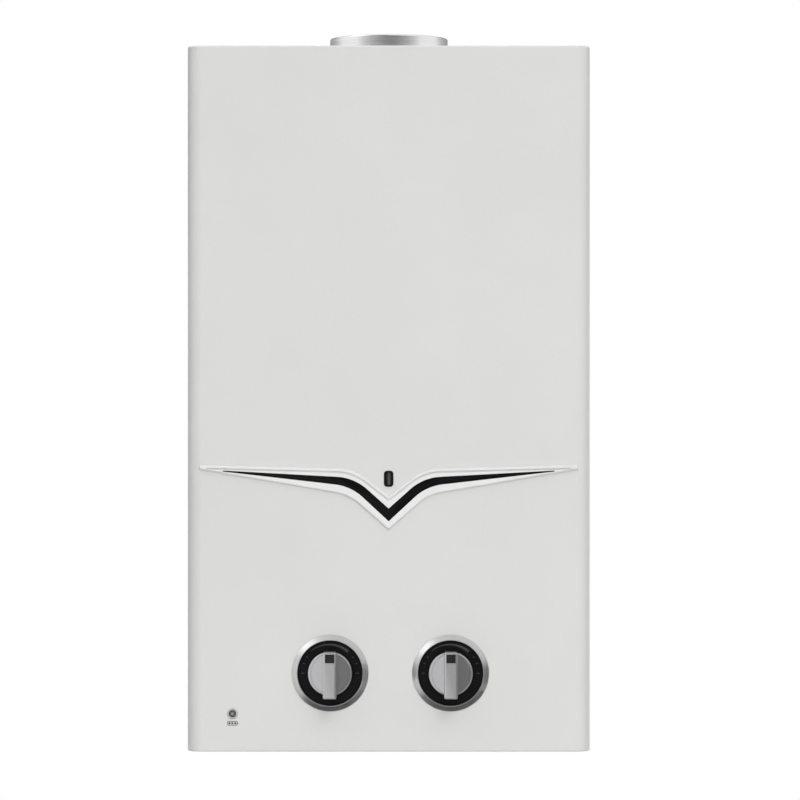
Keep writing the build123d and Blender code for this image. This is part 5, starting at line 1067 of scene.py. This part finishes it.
insert_high = (POINTER_W / 2 - INSERT_GAP, pointer_top - INSERT_GAP, KNOB_H - INSERT_SUNK)
insert = slab("insert", insert_low, insert_high)
round_edges(insert, lambda a, b: min(a.z, b.z) > KNOB_H - INSERT_SUNK - 0.0002, 0.0003, 3)
choose(insert, "FACE", lambda c, n: n.z > 0.99)
bpy.ops.mesh.inset(thickness=0.0008)
bpy.ops.mesh.inset(thickness=0.0002, depth=-0.0002)
clear_hands()
for tap, x in (("gas", GAS_X), ("water", WATER_X)):
    turning = twin(knob, tap + "_knob_silver")
    stand(turning, x, KNOB_Y, KNOB_Z)
    settle(turning, silver_spray, tap + "_knob", "knob_silver", tap + "_knob")
    mark = twin(insert, tap + "_pointer_insert")
    stand(mark, x, KNOB_Y, KNOB_Z)
    settle(mark, black_moulding, tap + "_knob", "black_plastic", tap + "_pointer")
bpy.data.objects.remove(knob)
bpy.data.objects.remove(insert)


# Studio: a plain pale floor below the hanging heater, soft lamps in front, dark boards and one bright
# board that only shiny things see, and a white surround.
def mixed(amount, first, second):
    """Two shaders mixed by an amount."""
    mix = new_node(amount, "MixShader")
    link(amount, mix.inputs["Fac"])
    link(first, mix.inputs[1])
    link(second, mix.inputs[2])
    return mix.outputs["Shader"]


clear_hands()
bpy.ops.mesh.primitive_plane_add(size=9, location=(0, -0.5, -0.95))
floor = named("studio_floor")
pale_floor, surface = new_finish("pale_floor")
tint(surface, "Base Color", clouds(spot(surface), 3, 3), (0.3, (0.80, 0.80, 0.80)), (0.7, (0.83, 0.83, 0.83)))
surface.inputs["Roughness"].default_value = 0.7
fade = shades(length_of(spot(surface, (0.5, 0.5, 0.5))), (0.25, 0.0), (0.95, 1.0))
gone = calculate("MAXIMUM", new_node(surface, "NewGeometry").outputs["Backfacing"], fade)
one_sided = mixed(gone, surface.outputs["BSDF"], new_node(surface, "BsdfTransparent").outputs["BSDF"])
link(one_sided, surface.id_data.nodes["Material Output"].inputs["Surface"])
floor.data.materials.append(pale_floor)


def board(name, place, turn, size, middle, ends, power=1.0):
    """A board that only shiny things see, grey from its middle to its two ends."""
    clear_hands()
    bpy.ops.mesh.primitive_plane_add(size=1, location=place, rotation=[math.radians(a) for a in turn])
    panel = named(name)
    panel.scale = (*size, 1)
    greys, surface = new_finish(name)
    surface.inputs["Base Color"].default_value = (0, 0, 0, 1)
    surface.inputs["Emission Strength"].default_value = power
    aside = calculate("ABSOLUTE", along(spot(surface), "X"))
    tint(surface, "Emission Color", aside, (0.02, middle), (0.45, ends))
    panel.data.materials.append(greys)
    panel.visible_camera = False
    panel.visible_diffuse = False
    panel.visible_shadow = False
    panel.visible_transmission = False


board("board_collar", (0, -1.4, 0.80), (90, 0, 0), (6.2, 0.94), 0.12, 1.0)
board("board_behind", (0, 1.2, 0.72), (90, 0, 0), (9.0, 1.0), 0.25, 0.8)
board("board_knobs", (0.95, -2.6, -0.6), (90, 0, 0), (1.6, 1.64), 0.02, 0.02)
board("board_low", (0.3, -0.15, -0.94), (0, 0, 0), (2.2, 0.9), 0.03, 0.03)
board("board_right", (2.3, -0.9, -0.5), (90, 0, 90), (3.0, 1.5), 0.12, 0.3)
board("board_bright", (-1.75, -0.8, 1.5), (0, 135, 20), (1.3, 1.3), 1.0, 1.0, 2.2)


def lamp(name, place, aim, size, power):
    """A soft square lamp turned towards a point."""
    light = bpy.data.lights.new(name, "AREA")
    light.shape = "RECTANGLE"
    light.size, light.size_y = size
    light.energy = power
    body = bpy.data.objects.new(name, light)
    body.location = place
    body.rotation_euler = (Vector(aim) - Vector(place)).to_track_quat("-Z", "Y").to_euler()
    body.visible_glossy = False
    bpy.context.scene.collection.objects.link(body)


lamp("front_soft", (0.6, -3.1, -0.3), (0, -0.1, -0.1), (2.2, 1.2), 25)
lamp("high_key", (0.65, -3.2, 2.2), (0, -0.16, -0.1), (1.7, 1.7), 43)
lamp("high_soft", (0, -0.4, 2.6), (0, -0.4, 0), (4.5, 4.5), 50)
lamp("back_soft", (-1.2, 2.9, 0.8), (0, 0, 0), (1.6, 1.6), 34)

world = bpy.data.worlds.new("white_surround")
world.use_nodes = True
bpy.context.scene.world = world
fill = world.node_tree.nodes["Background"]
fill.inputs["Strength"].default_value = 1.0
upward = calculate("MULTIPLY_ADD", along(new_node(fill, "TexCoord").outputs["Generated"], "Z"), 0.5, 0.5)
tint(fill, "Color", upward, (0.25, 0.19), (0.75, 0.47))
seen = new_node(fill, "Background")
seen.inputs["Color"].default_value = (1, 1, 1, 1)
seen.inputs["Strength"].default_value = 1.0
rays = new_node(fill, "LightPath").outputs
looked_at = calculate("MAXIMUM", rays["Is Camera Ray"], rays["Is Glossy Ray"])
looked_at = calculate("MAXIMUM", looked_at, rays["Is Transmission Ray"])
surround = mixed(looked_at, fill.outputs["Background"], seen.outputs["Background"])
link(surround, world.node_tree.nodes["World Output"].inputs["Surface"])

eye = bpy.data.cameras.new("photo_camera")
eye.sensor_width = 36
eye.lens = 165.0
eye.clip_end = 50
camera = bpy.data.objects.new("photo_camera", eye)
camera.location = (0.00928, -3.160, -0.00115)
camera.rotation_euler = (math.pi / 2, 0, 0)
bpy.context.scene.collection.objects.link(camera)
bpy.context.scene.camera = camera
